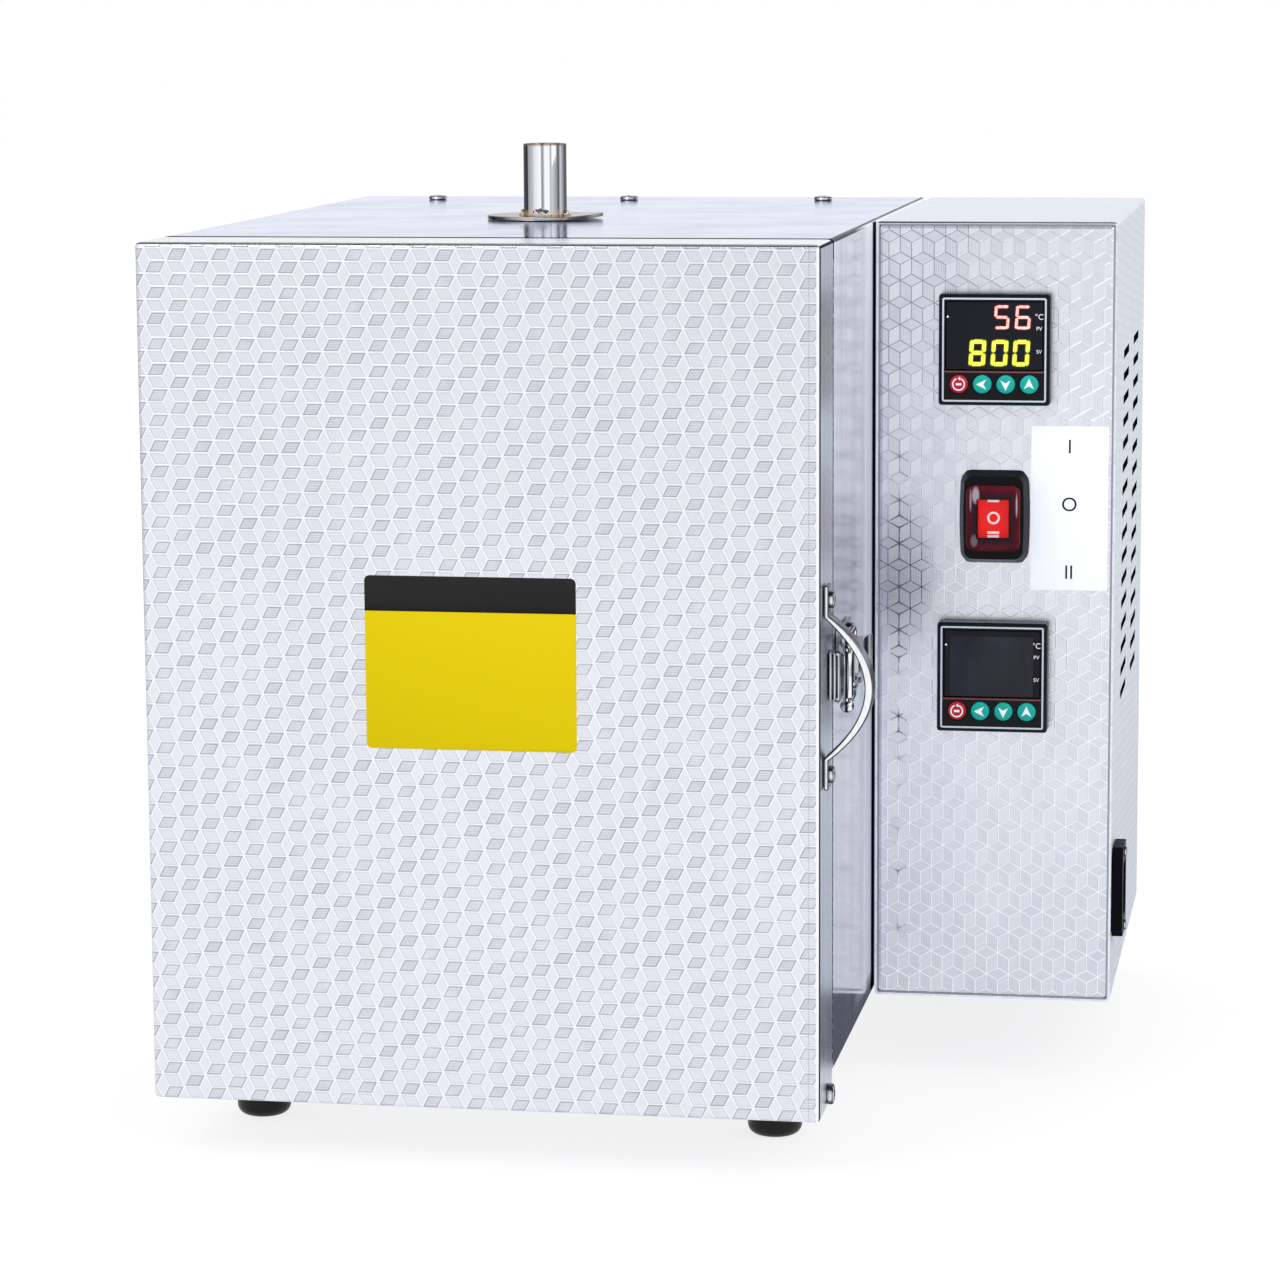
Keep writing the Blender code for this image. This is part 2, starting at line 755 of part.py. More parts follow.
def build_chimney(wrap, roof):
    """Pipe through the casing top and the roof board, with its round flange."""
    x = CASING_LEFT + CHIMNEY_FROM_LEFT
    y = CASING_FRONT + CHIMNEY_FROM_FRONT
    top = CASING_TOP + CHIMNEY_RISE
    inner = CHIMNEY_RADIUS - CHIMNEY_WALL
    bore = CHIMNEY_RADIUS + CLEARANCE
    make_turned(
        "chimney_pipe",
        [(inner, top), (CHIMNEY_RADIUS, top), (CHIMNEY_RADIUS, CHAMBER_TOP),
         (inner, CHAMBER_TOP)],
        (x, y, 0.0),
        bright_steel("chimney_pipe_steel"),
        closed=True,
    )
    low = CASING_TOP + CLEARANCE
    make_turned(
        "chimney_flange",
        [(bore, low + FLANGE_THICKNESS), (FLANGE_RADIUS, low + FLANGE_THICKNESS),
         (FLANGE_RADIUS, low), (bore, low)],
        (x, y, 0.0),
        bright_steel("chimney_flange_steel"),
        closed=True,
        steps=2 * ROUND_STEPS,
    )
    length = CASING_TOP - CHAMBER_TOP + 2 * CUT_OVERRUN
    middle = (x, y, (CASING_TOP + CHAMBER_TOP) / 2)
    hole = make_cylinder("cutter_chimney", middle, bore, length, 2)
    cut(wrap, hole)
    cut(roof, hole)


def build_thermocouple(wrap, right_wall, box_shell):
    """Ceramic probe through the right wall, its head inside the control box."""
    start = CHAMBER_RIGHT - PROBE_REACH
    seat = BOX_LEFT + SEAM
    head_end = seat + PROBE_HEAD_LENGTH
    overlap = PROBE_HEAD_LENGTH / 2
    centre = ((start + seat + overlap) / 2, PROBE_Y, PROBE_Z)
    length = seat + overlap - start
    make_cylinder(
        "thermocouple", centre, PROBE_RADIUS, length, 0,
        glazed_ceramic("thermocouple_ceramic"),
    )
    bore = make_cylinder(
        "cutter_thermocouple", centre, PROBE_RADIUS + CLEARANCE,
        length + 2 * CLEARANCE, 0,
    )
    head = make_cylinder(
        "thermocouple_head", ((seat + head_end) / 2, PROBE_Y, PROBE_Z),
        PROBE_HEAD_RADIUS, head_end - seat, 0,
        glazed_ceramic("thermocouple_head_ceramic"),
    )
    add_bevel(head, PROBE_HEAD_EDGE)
    for piece in (wrap, right_wall, box_shell, head):
        cut(piece, bore)


# Door, hinges and handle


def build_door(parent):
    """Folded skin, inner liner, fibre filling with its plug, and the gasket."""
    right = CASING_RIGHT
    make_shell(
        "door_skin",
        (CASING_LEFT, DOOR_FRONT, DOOR_BOTTOM),
        (right, DOOR_REAR, CASING_TOP),
        ("+y",),
        embossed_steel("door_skin_steel"),
        parent,
    )
    liner = make_shell(
        "door_liner",
        (CASING_LEFT + SEAM, DOOR_REAR - LINER_FLANGE, DOOR_BOTTOM + SEAM),
        (right - SEAM, DOOR_REAR, CASING_TOP - SEAM),
        ("-y",),
        bright_steel("door_liner_steel"),
        parent,
    )
    play = PLUG_PLAY
    plug_low = (CHAMBER_LEFT + play, DOOR_REAR - SEAM - CUT_OVERRUN, CHAMBER_BOTTOM + play)
    plug_high = (CHAMBER_RIGHT - play, CASING_FRONT + PLUG_REACH, CHAMBER_TOP - play)
    filling = make_box(
        "door_insulation",
        (CASING_LEFT + 2 * SEAM, DOOR_FRONT + SEAM, DOOR_BOTTOM + 2 * SEAM),
        (right - 2 * SEAM, DOOR_REAR - SEAM, CASING_TOP - 2 * SEAM),
        fibre_board("door_insulation_board"),
        parent,
    )
    bm = bmesh.new()
    add_box(bm, plug_low, plug_high)
    middle = centre_of(plug_low, plug_high)
    for vert in bm.verts:
        if vert.co.y > middle.y:
            vert.co.x -= math.copysign(PLUG_TAPER, vert.co.x - middle.x)
            vert.co.z -= math.copysign(PLUG_TAPER, vert.co.z - middle.z)
    join(filling, finish_object("helper_plug", mesh_from("helper_plug", bm), middle))
    hole = make_box(
        "cutter_liner",
        (plug_low[0] - CLEARANCE, DOOR_REAR - SHEET - CUT_OVERRUN, plug_low[2] - CLEARANCE),
        (plug_high[0] + CLEARANCE, DOOR_REAR + CUT_OVERRUN, plug_high[2] + CLEARANCE),
    )
    cut(liner, hole)
    build_gasket(parent)


def build_gasket(parent):
    """Fibre rope laid round the mouth, in the gap between door and frame."""
    grow = GASKET_OFFSET + GASKET_WIDTH
    low_y, high_y = DOOR_REAR + CLEARANCE, CASING_FRONT - CLEARANCE
    gasket = make_rounded_box(
        "door_gasket",
        (CHAMBER_LEFT - grow, low_y, CHAMBER_BOTTOM - grow),
        (CHAMBER_RIGHT + grow, high_y, CHAMBER_TOP + grow),
        1, GASKET_CORNER, 3,
        fibre_board("door_gasket_rope"),
        parent,
    )
    hole = make_box(
        "cutter_gasket",
        (CHAMBER_LEFT - GASKET_OFFSET, low_y - CUT_OVERRUN, CHAMBER_BOTTOM - GASKET_OFFSET),
        (CHAMBER_RIGHT + GASKET_OFFSET, high_y + CUT_OVERRUN, CHAMBER_TOP + GASKET_OFFSET),
    )
    cut(gasket, hole)


def hinge_leaf(name, direction, middle, kept, parent=None):
    """Leaf and knuckles drawn out of one section; direction +1 lies on the casing."""
    inner = KNUCKLE_RADIUS - HINGE_LEAF_THICKNESS
    start = math.asin(inner / KNUCKLE_RADIUS)
    section = [(HINGE_LEAF, KNUCKLE_RADIUS), (HINGE_LEAF, inner)]
    section += arc((0.0, 0.0), KNUCKLE_RADIUS, start, -3 * math.pi / 2, ROUND_STEPS)
    bore = arc((0.0, 0.0), HINGE_PIN_RADIUS + CLEARANCE, 0.0, 2 * math.pi, ROUND_STEPS)[:-1]
    outlines = []
    for outline in (section, bore):
        outlines.append([(v, direction * u) for u, v in outline])
    mesh = outline_mesh(name, outlines, HINGE_LENGTH)
    axis = Vector((HINGE_X, HINGE_Y, middle))
    mesh.transform(Matrix.Translation(axis))
    leaf = finish_object(name, mesh, axis, bright_steel(name + "_steel"), parent)
    reach = KNUCKLE_RADIUS + CLEARANCE
    share = HINGE_LENGTH * KNUCKLE_SHARE
    bm = bmesh.new()
    for low, high in kept(middle, share):
        add_box(
            bm,
            (HINGE_X - reach - CUT_OVERRUN, HINGE_Y - reach, low),
            (CASING_LEFT + CUT_OVERRUN, HINGE_Y + reach, high),
        )
    cut(leaf, finish_object("cutter_" + name, mesh_from("cutter_" + name, bm), axis))


def middle_notch(middle, share):
    """Span cut from the casing's leaf, where the door's knuckle sits."""
    half = share / 2 + CLEARANCE
    return [(middle - half, middle + half)]


def end_notches(middle, share):
    """Spans cut from the door's leaf, where the casing's knuckles sit."""
    half = HINGE_LENGTH / 2 + CUT_OVERRUN
    return [(middle - half, middle - share / 2), (middle + share / 2, middle + half)]


def build_hinges(parent):
    """Upper and lower butt hinge, each with two leaves and a headed pin."""
    places = (("upper", CASING_TOP - HINGE_FROM_END), ("lower", DOOR_BOTTOM + HINGE_FROM_END))
    for word, middle in places:
        hinge_leaf("hinge_casing_leaf_" + word, 1, middle, middle_notch)
        hinge_leaf("hinge_door_leaf_" + word, -1, middle, end_notches, parent)
        top = HINGE_LENGTH / 2 + CLEARANCE
        profile = [
            (0.0, top + HINGE_PIN_HEAD_LENGTH),
            (HINGE_PIN_RADIUS, top + HINGE_PIN_HEAD_LENGTH),
            (HINGE_PIN_HEAD, top + HINGE_PIN_HEAD_LENGTH / 2),
            (HINGE_PIN_HEAD, top),
            (HINGE_PIN_RADIUS, top),
            (HINGE_PIN_RADIUS, -top),
            (0.0, -top),
        ]
        name = "hinge_pin_" + word
        make_turned(name, profile, (HINGE_X, HINGE_Y, middle), bright_steel(name + "_steel"))


def build_handle(parent):
    """Bow handle: two flat feet and a bowed strap, thickest at its crown."""
    half = HANDLE_SPAN / 2
    chord = half - HANDLE_FOOT

    def bow(reach, rise, base):
        points = []
        for i in range(HANDLE_STEPS + 1):
            share = 2 * i / HANDLE_STEPS - 1
            points.append((base + rise * (1 - share ** 2), reach * share))
        return points

    low = CLEARANCE
    high = low + HANDLE_FOOT_THICKNESS
    crown = HANDLE_RISE - HANDLE_THICKNESS
    outer = bow(chord, HANDLE_RISE - high, high)
    inner = bow(chord - HANDLE_FOOT_THICKNESS, crown - low, low)
    outline = [(low, -half), (high, -half)] + outer + [(high, half), (low, half)]
    outline += list(reversed(inner))
    mesh = outline_mesh("door_handle", [outline], HANDLE_WIDTH)
    place = Vector((CASING_RIGHT, DOOR_FRONT + HANDLE_FROM_FRONT, DOOR_MIDDLE - HANDLE_DROP))
    mesh.transform(Matrix.Translation(place) @ Matrix.Rotation(math.pi / 2, 4, "X"))
    finish_object("door_handle", mesh, place, bright_steel("door_handle_steel"), parent)


# Toggle latch on the door's right side


def latch_place(from_seam, height, rise=0.0):
    """World point of the latch, from the casing's front edge and right side."""
    return Vector((CASING_RIGHT + height, CASING_FRONT + from_seam, LATCH_Z + rise))


def build_latch_base():
    """Base plate with two ears that carry the lever's pin."""
    low_y = LATCH_BASE_FROM_SEAM
    base = make_box(
        "latch_base",
        latch_place(low_y, CLEARANCE, -LATCH_BASE_HALF),
        latch_place(low_y + LATCH_BASE_LENGTH, CLEARANCE + LATCH_PLATE, LATCH_BASE_HALF),
        bright_steel("latch_base_steel"),
    )
    bm = bmesh.new()
    for side in (-1, 1):
        edges = sorted((side * LATCH_EAR_HALF, side * (LATCH_EAR_HALF - LATCH_PLATE)))
        add_box(
            bm,
            latch_place(LATCH_PIVOT_FROM_SEAM - LATCH_EAR_REACH,
                        CLEARANCE + LATCH_PLATE / 2, edges[0]),
            latch_place(LATCH_PIVOT_FROM_SEAM + LATCH_EAR_REACH,
                        LATCH_PIVOT_HEIGHT + LEVER_CHEEK_REACH, edges[1]),
        )
    place = latch_place(LATCH_PIVOT_FROM_SEAM, LATCH_PIVOT_HEIGHT)
    join(base, finish_object("helper_ears", mesh_from("helper_ears", bm), place))
    bore = make_cylinder(
        "cutter_latch_base", place, LATCH_PIN_RADIUS + CLEARANCE,
        2 * (LATCH_EAR_HALF + CUT_OVERRUN), 2,
    )
    cut(base, bore)
    top = LATCH_EAR_HALF + CLEARANCE
    ball = [(r, top + h) for r, h in arc((0.0, 0.0), LATCH_PIN_HEAD, math.pi / 2, 0.0, 3)]
    mirrored = [(r, -z) for r, z in reversed(ball)]
    profile = ball + [(LATCH_PIN_RADIUS, top), (LATCH_PIN_RADIUS, -top)] + mirrored
    profile[0] = (0.0, profile[0][1])
    profile[-1] = (0.0, profile[-1][1])
    make_turned("latch_pin", profile, place, bright_steel("latch_pin_steel"))


def build_lever(parent):
    """Lever: a strap with a raised finger tip and two cheeks on the pin."""
    pin = Vector((PIVOT_X, PIVOT_Y, LATCH_Z))
    cheek = LATCH_EAR_HALF - LATCH_PLATE - LEVER_PLAY
    top = LEVER_CHEEK_REACH + LATCH_PLATE
    bend = LEVER_LENGTH - LEVER_TIP_LENGTH
    outer = [(top, LEVER_WEB_FROM_PIVOT)]
    inner = [(top - LATCH_PLATE, LEVER_WEB_FROM_PIVOT)]
    for i in range(LEVER_STEPS + 1):
        share = i / LEVER_STEPS
        lift = LEVER_TIP_RISE * share ** 2
        along = bend + LEVER_TIP_LENGTH * share
        outer.append((top + lift, along))
        inner.append((top - LATCH_PLATE + lift, along))
    strap = outline_mesh("latch_lever", [outer + inner[::-1]], 2 * cheek)
    strap.transform(Matrix.Translation(pin))
    lever = finish_object("latch_lever", strap, pin, bright_steel("latch_lever_steel"), parent)
    bm = bmesh.new()
    for side in (-1, 1):
        edges = sorted((side * cheek, side * (cheek - LATCH_PLATE)))
        add_box(
            bm,
            pin + Vector((-LEVER_CHEEK_REACH, -LEVER_CHEEK_FRONT, edges[0])),
            pin + Vector((LEVER_CHEEK_REACH + LATCH_PLATE / 2,
                          LEVER_CHEEK_LENGTH - LEVER_CHEEK_FRONT, edges[1])),
        )
    join(lever, finish_object("helper_cheeks", mesh_from("helper_cheeks", bm), pin))
    length = 2 * (cheek + CUT_OVERRUN)
    bm = bmesh.new()
    add_cylinder(bm, pin, LATCH_PIN_RADIUS + CLEARANCE, length, 2)
    add_cylinder(bm, pin + Vector((0.0, BAIL_ARM, 0.0)), BAIL_RADIUS + CLEARANCE, length, 2)
    cut(lever, finish_object("cutter_lever", mesh_from("cutter_lever", bm), pin))


def rounded_route(corners, radius, steps):
    """Corner points of an open route, with each inner corner rounded."""
    route = [corners[0]]
    for before, corner, after in zip(corners, corners[1:], corners[2:]):
        back = (before - corner).normalized() * radius
        ahead = (after - corner).normalized() * radius
        for i in range(steps + 1):
            share = i / steps
            route.append(corner + back * (1 - share) ** 2 + ahead * share ** 2)
    route.append(corners[-1])
    return route


def build_bail(parent):
    """Wire bail hung in the lever's cheeks, lying over the keeper's lip."""
    rest = CLEARANCE + KEEPER_HEIGHT + CLEARANCE + BAIL_RADIUS
    corners = []
    for side in (1, -1):
        near = [
            Vector((PIVOT_X, BAIL_Y, LATCH_Z + side * BAIL_STUB)),
            Vector((PIVOT_X, BAIL_Y, LATCH_Z + side * BAIL_HALF)),
            latch_place(-BAIL_FROM_SEAM, rest, side * BAIL_HALF),
        ]
        corners += near if side > 0 else near[::-1]
    route = rounded_route(corners, BAIL_CORNER, BAIL_CORNER_STEPS)
    mesh = tube_mesh("latch_bail", route, BAIL_RADIUS)
    place = (PIVOT_X, BAIL_Y, LATCH_Z)
    finish_object("latch_bail", mesh, place, bright_steel("latch_bail_steel"), parent)


def build_keeper(parent):
    """Hooked keeper on the door's side, its lip turned towards the front."""
    low = CLEARANCE
    plate = low + LATCH_PLATE
    top = low + KEEPER_HEIGHT
    rear = -KEEPER_REAR
    wall = rear - KEEPER_WALL_FROM_REAR
    outline = [
        (low, -KEEPER_FRONT),
        (plate, -KEEPER_FRONT),
        (plate, wall - LATCH_PLATE),
        (top - LATCH_PLATE, wall - LATCH_PLATE),
        (top - LATCH_PLATE, wall - KEEPER_LIP),
        (top, wall - KEEPER_LIP),
        (top, wall),
        (plate, wall),
        (plate, rear),
        (low, rear),
    ]
    mesh = outline_mesh("latch_keeper", [outline], 2 * KEEPER_HALF)
    place = latch_place(0.0, 0.0)
    mesh.transform(Matrix.Translation(place))
    finish_object("latch_keeper", mesh, place, bright_steel("latch_keeper_steel"), parent)


# Control box and what it carries


def build_box():
    """Shell with vents and spacers, back and front panel of the control box."""
    shell = make_shell(
        "control_box_shell",
        (BOX_LEFT, BOX_FRONT, CASING_BOTTOM),
        (BOX_RIGHT, CASING_REAR, CASING_TOP),
        ("-y", "+y"),
        embossed_steel("control_box_shell_steel"),
    )
    bm = bmesh.new()
    for column in VENT_COLUMNS_FROM_FRONT:
        for row in range(VENT_ROWS):
            y = BOX_FRONT + column
            z = CASING_TOP - VENT_FROM_TOP - row * VENT_PITCH
            add_rounded_box(
                bm,
                (BOX_RIGHT - SHEET - CUT_OVERRUN, y - VENT_LENGTH / 2, z - VENT_HEIGHT / 2),
                (BOX_RIGHT + CUT_OVERRUN, y + VENT_LENGTH / 2, z + VENT_HEIGHT / 2),
                0, VENT_HEIGHT / 2 - WELD_DISTANCE, VENT_END_STEPS,
            )
    place = (BOX_RIGHT, BOX_FRONT, CASING_TOP)
    cut(shell, finish_object("cutter_vents", mesh_from("cutter_vents", bm), place))
    bm = bmesh.new()
    length = BOX_GAP - CLEARANCE + SHEET / 2
    for y in (BOX_FRONT + SPACER_INSET, CASING_REAR - SPACER_INSET):
        for z in (CASING_BOTTOM + SPACER_INSET, CASING_TOP - SPACER_INSET):
            x = BOX_LEFT + SHEET / 2 - length / 2
            add_cylinder(bm, (x, y, z), SPACER_RADIUS, length, 0)
    place = (BOX_LEFT, BOX_FRONT, CASING_BOTTOM)
    join(shell, finish_object("helper_spacers", mesh_from("helper_spacers", bm), place))
    make_shell(
        "control_box_back",
        (BOX_LEFT + SEAM, CASING_REAR - PANEL_FLANGE, CASING_BOTTOM + SEAM),
        (BOX_RIGHT - SEAM, CASING_REAR, CASING_TOP - SEAM),
        ("-y",),
        bright_steel("control_box_back_steel"),
    )
    panel = make_shell(
        "control_panel",
        (BOX_LEFT + SEAM, BOX_FRONT, CASING_BOTTOM + SEAM),
        (BOX_RIGHT - SEAM, BOX_FRONT + PANEL_FLANGE, CASING_TOP - SEAM),
        ("+y",),
        embossed_steel("control_panel_steel"),
    )
    return shell, panel


def panel_hole(name, width, height, z):
    """Cutter for a rectangular hole through the front panel."""
    return make_box(
        name,
        (BOX_MIDDLE - width / 2, BOX_FRONT - CUT_OVERRUN, z - height / 2),
        (BOX_MIDDLE + width / 2, BOX_FRONT + SHEET + CUT_OVERRUN, z + height / 2),
    )


def build_controller(word, z, panel):
    """One panel controller: case, window and four push buttons."""
    half = CONTROLLER_SIZE / 2
    front = BOX_FRONT - CONTROLLER_PROUD
    rear = BOX_FRONT - CLEARANCE
    case = make_box(
        "controller_case_" + word,
        (BOX_MIDDLE - half, front, z - half),
        (BOX_MIDDLE + half, rear, z + half),
        black_plastic("controller_case_" + word + "_plastic"),
        edge=CONTROLLER_EDGE,
    )
    body = CONTROLLER_BODY / 2
    join(case, make_box(
        "helper_controller_" + word,
        (BOX_MIDDLE - body, rear - CUT_OVERRUN, z - body),
        (BOX_MIDDLE + body, BOX_FRONT + CONTROLLER_BODY_DEPTH, z + body),
    ))
    hole = CONTROLLER_BODY + 2 * CLEARANCE
    cut(panel, panel_hole("cutter_controller_" + word, hole, hole, z))
    top = z + half - WINDOW_FROM_TOP
    window = make_box(
        "display_window_" + word,
        (BOX_MIDDLE - WINDOW_WIDTH / 2, front + WINDOW_SINK, top - WINDOW_HEIGHT),
        (BOX_MIDDLE + WINDOW_WIDTH / 2, front + WINDOW_SINK + WINDOW_THICKNESS, top),
        dark_window("display_window_" + word + "_acrylic"),
    )
    edge = CLEARANCE
    cut(case, make_box(
        "cutter_window_" + word,
        (BOX_MIDDLE - WINDOW_WIDTH / 2 - edge, front - CUT_OVERRUN, top - WINDOW_HEIGHT - edge),
        (BOX_MIDDLE + WINDOW_WIDTH / 2 + edge, front + WINDOW_SINK + WINDOW_THICKNESS + edge,
         top + edge),
    ))
    build_buttons(word, z - half + BUTTON_FROM_BOTTOM, front, case)
    return window


def build_buttons(word, z, front, case):
    """Row of four round buttons in blind wells, each on its own slide."""
    colours = ((0.55, 0.05, 0.07), (0.02, 0.40, 0.36), (0.02, 0.40, 0.36), (0.02, 0.40, 0.36))
    well_depth = BUTTON_DEPTH + BUTTON_TRAVEL + CLEARANCE
    wells = bmesh.new()
    for index, (label, colour) in enumerate(zip(BUTTON_NAMES, colours)):
        x = BOX_MIDDLE + (index - (len(BUTTON_NAMES) - 1) / 2) * BUTTON_PITCH
        name = "button_" + label + "_" + word
        length = BUTTON_PROUD + BUTTON_DEPTH
        centre = (x, front - BUTTON_PROUD + length / 2, z)
        marker = axis_marker(name + "_axis", (x, front, z))
        button = make_cylinder(
            name, centre, BUTTON_RADIUS, length, 1,
            plain_plastic(name + "_plastic", colour), marker, BUTTON_STEPS,
        )
        add_bevel(button, BUTTON_EDGE)
        depth = well_depth + CUT_OVERRUN
        add_cylinder(
            wells, (x, front + well_depth - depth / 2, z), BUTTON_RADIUS + BUTTON_PLAY,
            depth, 1, BUTTON_STEPS,
        )
    place = (BOX_MIDDLE, front, z)
    name = "cutter_wells_" + word
    cut(case, finish_object(name, mesh_from(name, wells), place))


def build_switch(panel):
    """Rocker switch: drawn-in housing, rocker on its pivot and a domed cover."""
    width, height = SWITCH_WIDTH / 2, SWITCH_HEIGHT / 2
    rear = BOX_FRONT - CLEARANCE
    bm = bmesh.new()
    low = (BOX_MIDDLE - width, SWITCH_FACE, SWITCH_Z - height)
    high = (BOX_MIDDLE + width, rear, SWITCH_Z + height)
    add_rounded_box(bm, low, high, 1, SWITCH_CORNER, 4)
    middle = (SWITCH_FACE + rear) / 2
    for vert in bm.verts:
        if vert.co.y < middle:
            vert.co.x -= SWITCH_DRAW * (vert.co.x - BOX_MIDDLE) / width
            vert.co.z -= SWITCH_DRAW * (vert.co.z - SWITCH_Z) / height
    housing = finish_object(
        "switch_housing", mesh_from("switch_housing", bm),
        (BOX_MIDDLE, SWITCH_FACE, SWITCH_Z), black_plastic("switch_housing_plastic"),
    )
    join(housing, make_box(
        "helper_switch",
        (BOX_MIDDLE - SWITCH_BODY_WIDTH / 2, rear - CUT_OVERRUN,
         SWITCH_Z - SWITCH_BODY_HEIGHT / 2),
        (BOX_MIDDLE + SWITCH_BODY_WIDTH / 2, BOX_FRONT + SWITCH_BODY_DEPTH,
         SWITCH_Z + SWITCH_BODY_HEIGHT / 2),
    ))
    hole_width = SWITCH_BODY_WIDTH + 2 * CLEARANCE
    hole_height = SWITCH_BODY_HEIGHT + 2 * CLEARANCE
    cut(panel, panel_hole("cutter_switch", hole_width, hole_height, SWITCH_Z))
    sine, cosine = math.sin(ROCKER_TILT), math.cos(ROCKER_TILT)
    front_reach = (ROCKER_PIVOT_DEPTH + ROCKER_PROUD) * sine
    well_half = ROCKER_HEIGHT / 2 * cosine + front_reach + CLEARANCE
    back_reach = (ROCKER_BACK_DEPTH - ROCKER_PIVOT_DEPTH) * cosine
    well_depth = ROCKER_PIVOT_DEPTH + back_reach + ROCKER_BACK_HEIGHT / 2 * sine + CLEARANCE
    side = ROCKER_WIDTH / 2 + CLEARANCE
    cut(housing, make_box(
        "cutter_rocker_well",
        (BOX_MIDDLE - side, SWITCH_FACE - CUT_OVERRUN, SWITCH_Z - well_half),
        (BOX_MIDDLE + side, SWITCH_FACE + well_depth, SWITCH_Z + well_half),
    ))
    build_rocker()
    make_shell(
        "switch_cover",
        (BOX_MIDDLE - COVER_WIDTH / 2, SWITCH_FACE - CLEARANCE - COVER_RISE,
         SWITCH_Z - COVER_HEIGHT / 2),
        (BOX_MIDDLE + COVER_WIDTH / 2, SWITCH_FACE - CLEARANCE,
         SWITCH_Z + COVER_HEIGHT / 2),
        ("+y",),
        translucent_red("switch_cover_silicone"),
        wall=COVER_WALL, fold=COVER_ROUND, segments=3,
    )


def build_rocker():
    """Rocker with a dipped face, turning about a cross axis behind it."""
    half = ROCKER_HEIGHT / 2
    back = ROCKER_BACK_HEIGHT / 2
    depth = ROCKER_BACK_DEPTH
    outline = [
        (-ROCKER_PROUD, half),
        (ROCKER_DIP - ROCKER_PROUD, 0.0),
        (-ROCKER_PROUD, -half),
        (depth / 2, -half),
        (depth, -back),
        (depth, back),
        (depth / 2, half),
    ]
    mesh = outline_mesh("switch_rocker", [outline], ROCKER_WIDTH)
    face = Vector((BOX_MIDDLE, SWITCH_FACE, SWITCH_Z))
    pivot = face + Vector((0.0, ROCKER_PIVOT_DEPTH, 0.0))
    turn = Matrix(((0, 0, 1, 0), (1, 0, 0, 0), (0, 1, 0, 0), (0, 0, 0, 1)))
    mesh.transform(Matrix.Translation(face) @ turn)
    marker = axis_marker("switch_rocker_axis", pivot)
    material = plain_plastic("switch_rocker_plastic", (0.75, 0.03, 0.03))
    finish_object("switch_rocker", mesh, pivot, material, marker)


def build_inlet(shell, panel):
    """Appliance inlet in the right wall: flanged body, socket and three contacts."""
    y0 = BOX_FRONT + INLET_FROM_FRONT
    z0 = CASING_BOTTOM + INLET_FROM_BOTTOM
    y1, z1 = y0 + INLET_DEPTH, z0 + INLET_HEIGHT
    middle_y, middle_z = (y0 + y1) / 2, (z0 + z1) / 2
    seat = BOX_RIGHT + CLEARANCE
    inlet = make_rounded_box(
        "power_inlet",
        (seat, y0, z0), (BOX_RIGHT + INLET_PROUD, y1, z1),
        0, INLET_CHAMFER, 1, black_plastic("power_inlet_plastic"),
    )
    margin = INLET_BODY_MARGIN
    inner = BOX_RIGHT - INLET_BODY_LENGTH
    join(inlet, make_box(
        "helper_inlet", (inner, y0 + margin, z0 + margin),
        (seat + CUT_OVERRUN, y1 - margin, z1 - margin),
    ))
    grip = margin - CLEARANCE
    hole = make_box(
        "cutter_inlet", (BOX_RIGHT - 2 * SEAM - CUT_OVERRUN, y0 + grip, z0 + grip),
        (BOX_RIGHT + CUT_OVERRUN, y1 - grip, z1 - grip),
    )
    cut(shell, hole)
    cut(panel, hole)
    floor = BOX_RIGHT + INLET_PROUD - SOCKET_DEPTH
    cut(inlet, make_rounded_box(
        "cutter_socket",
        (floor, middle_y - SOCKET_WIDTH / 2, middle_z - SOCKET_HEIGHT / 2),
        (BOX_RIGHT + INLET_PROUD + CUT_OVERRUN, middle_y + SOCKET_WIDTH / 2,
         middle_z + SOCKET_HEIGHT / 2),
        0, SOCKET_CHAMFER, 1,
    ))
    build_contacts(floor + CLEARANCE, middle_y, middle_z)


def build_contacts(floor, middle_y, middle_z):
    """Three blades on the common base at the bottom of the socket."""
    half_y = SOCKET_WIDTH / 2 - SOCKET_CHAMFER
    half_z = SOCKET_HEIGHT / 2 - SOCKET_CHAMFER
    base = make_box(
        "inlet_contacts",
        (floor, middle_y - half_y, middle_z - half_z),
        (floor + CONTACT_BASE, middle_y + half_y, middle_z + half_z),
        bright_steel("inlet_contacts_brass"),
    )
    bm = bmesh.new()
    for step, shift in ((-1, -1), (0, 1), (1, -1)):
        y = middle_y + shift * CONTACT_OFFSET
        z = middle_z + step * CONTACT_PITCH
        add_box(
            bm,
            (floor + CONTACT_BASE / 2, y - CONTACT_WIDTH / 2, z - CONTACT_THICKNESS / 2),
            (floor + CONTACT_LENGTH, y + CONTACT_WIDTH / 2, z + CONTACT_THICKNESS / 2),
        )
    place = (floor, middle_y, middle_z)
    join(base, finish_object("helper_contacts", mesh_from("helper_contacts", bm), place))


def build_relay():
    """Relay that switches the elements, flat on the left wall inside the box."""
    x = BOX_LEFT + SEAM
    z = CASING_BOTTOM + RELAY_FROM_BOTTOM
    y = CASING_REAR - RELAY_FROM_REAR
    make_box(
        "solid_state_relay",
        (x, y - RELAY_WIDTH, z), (x + RELAY_DEPTH, y, z + RELAY_LENGTH),
        plain_plastic("solid_state_relay_plastic", (0.75, 0.75, 0.72)),
        edge=RELAY_EDGE,
    )


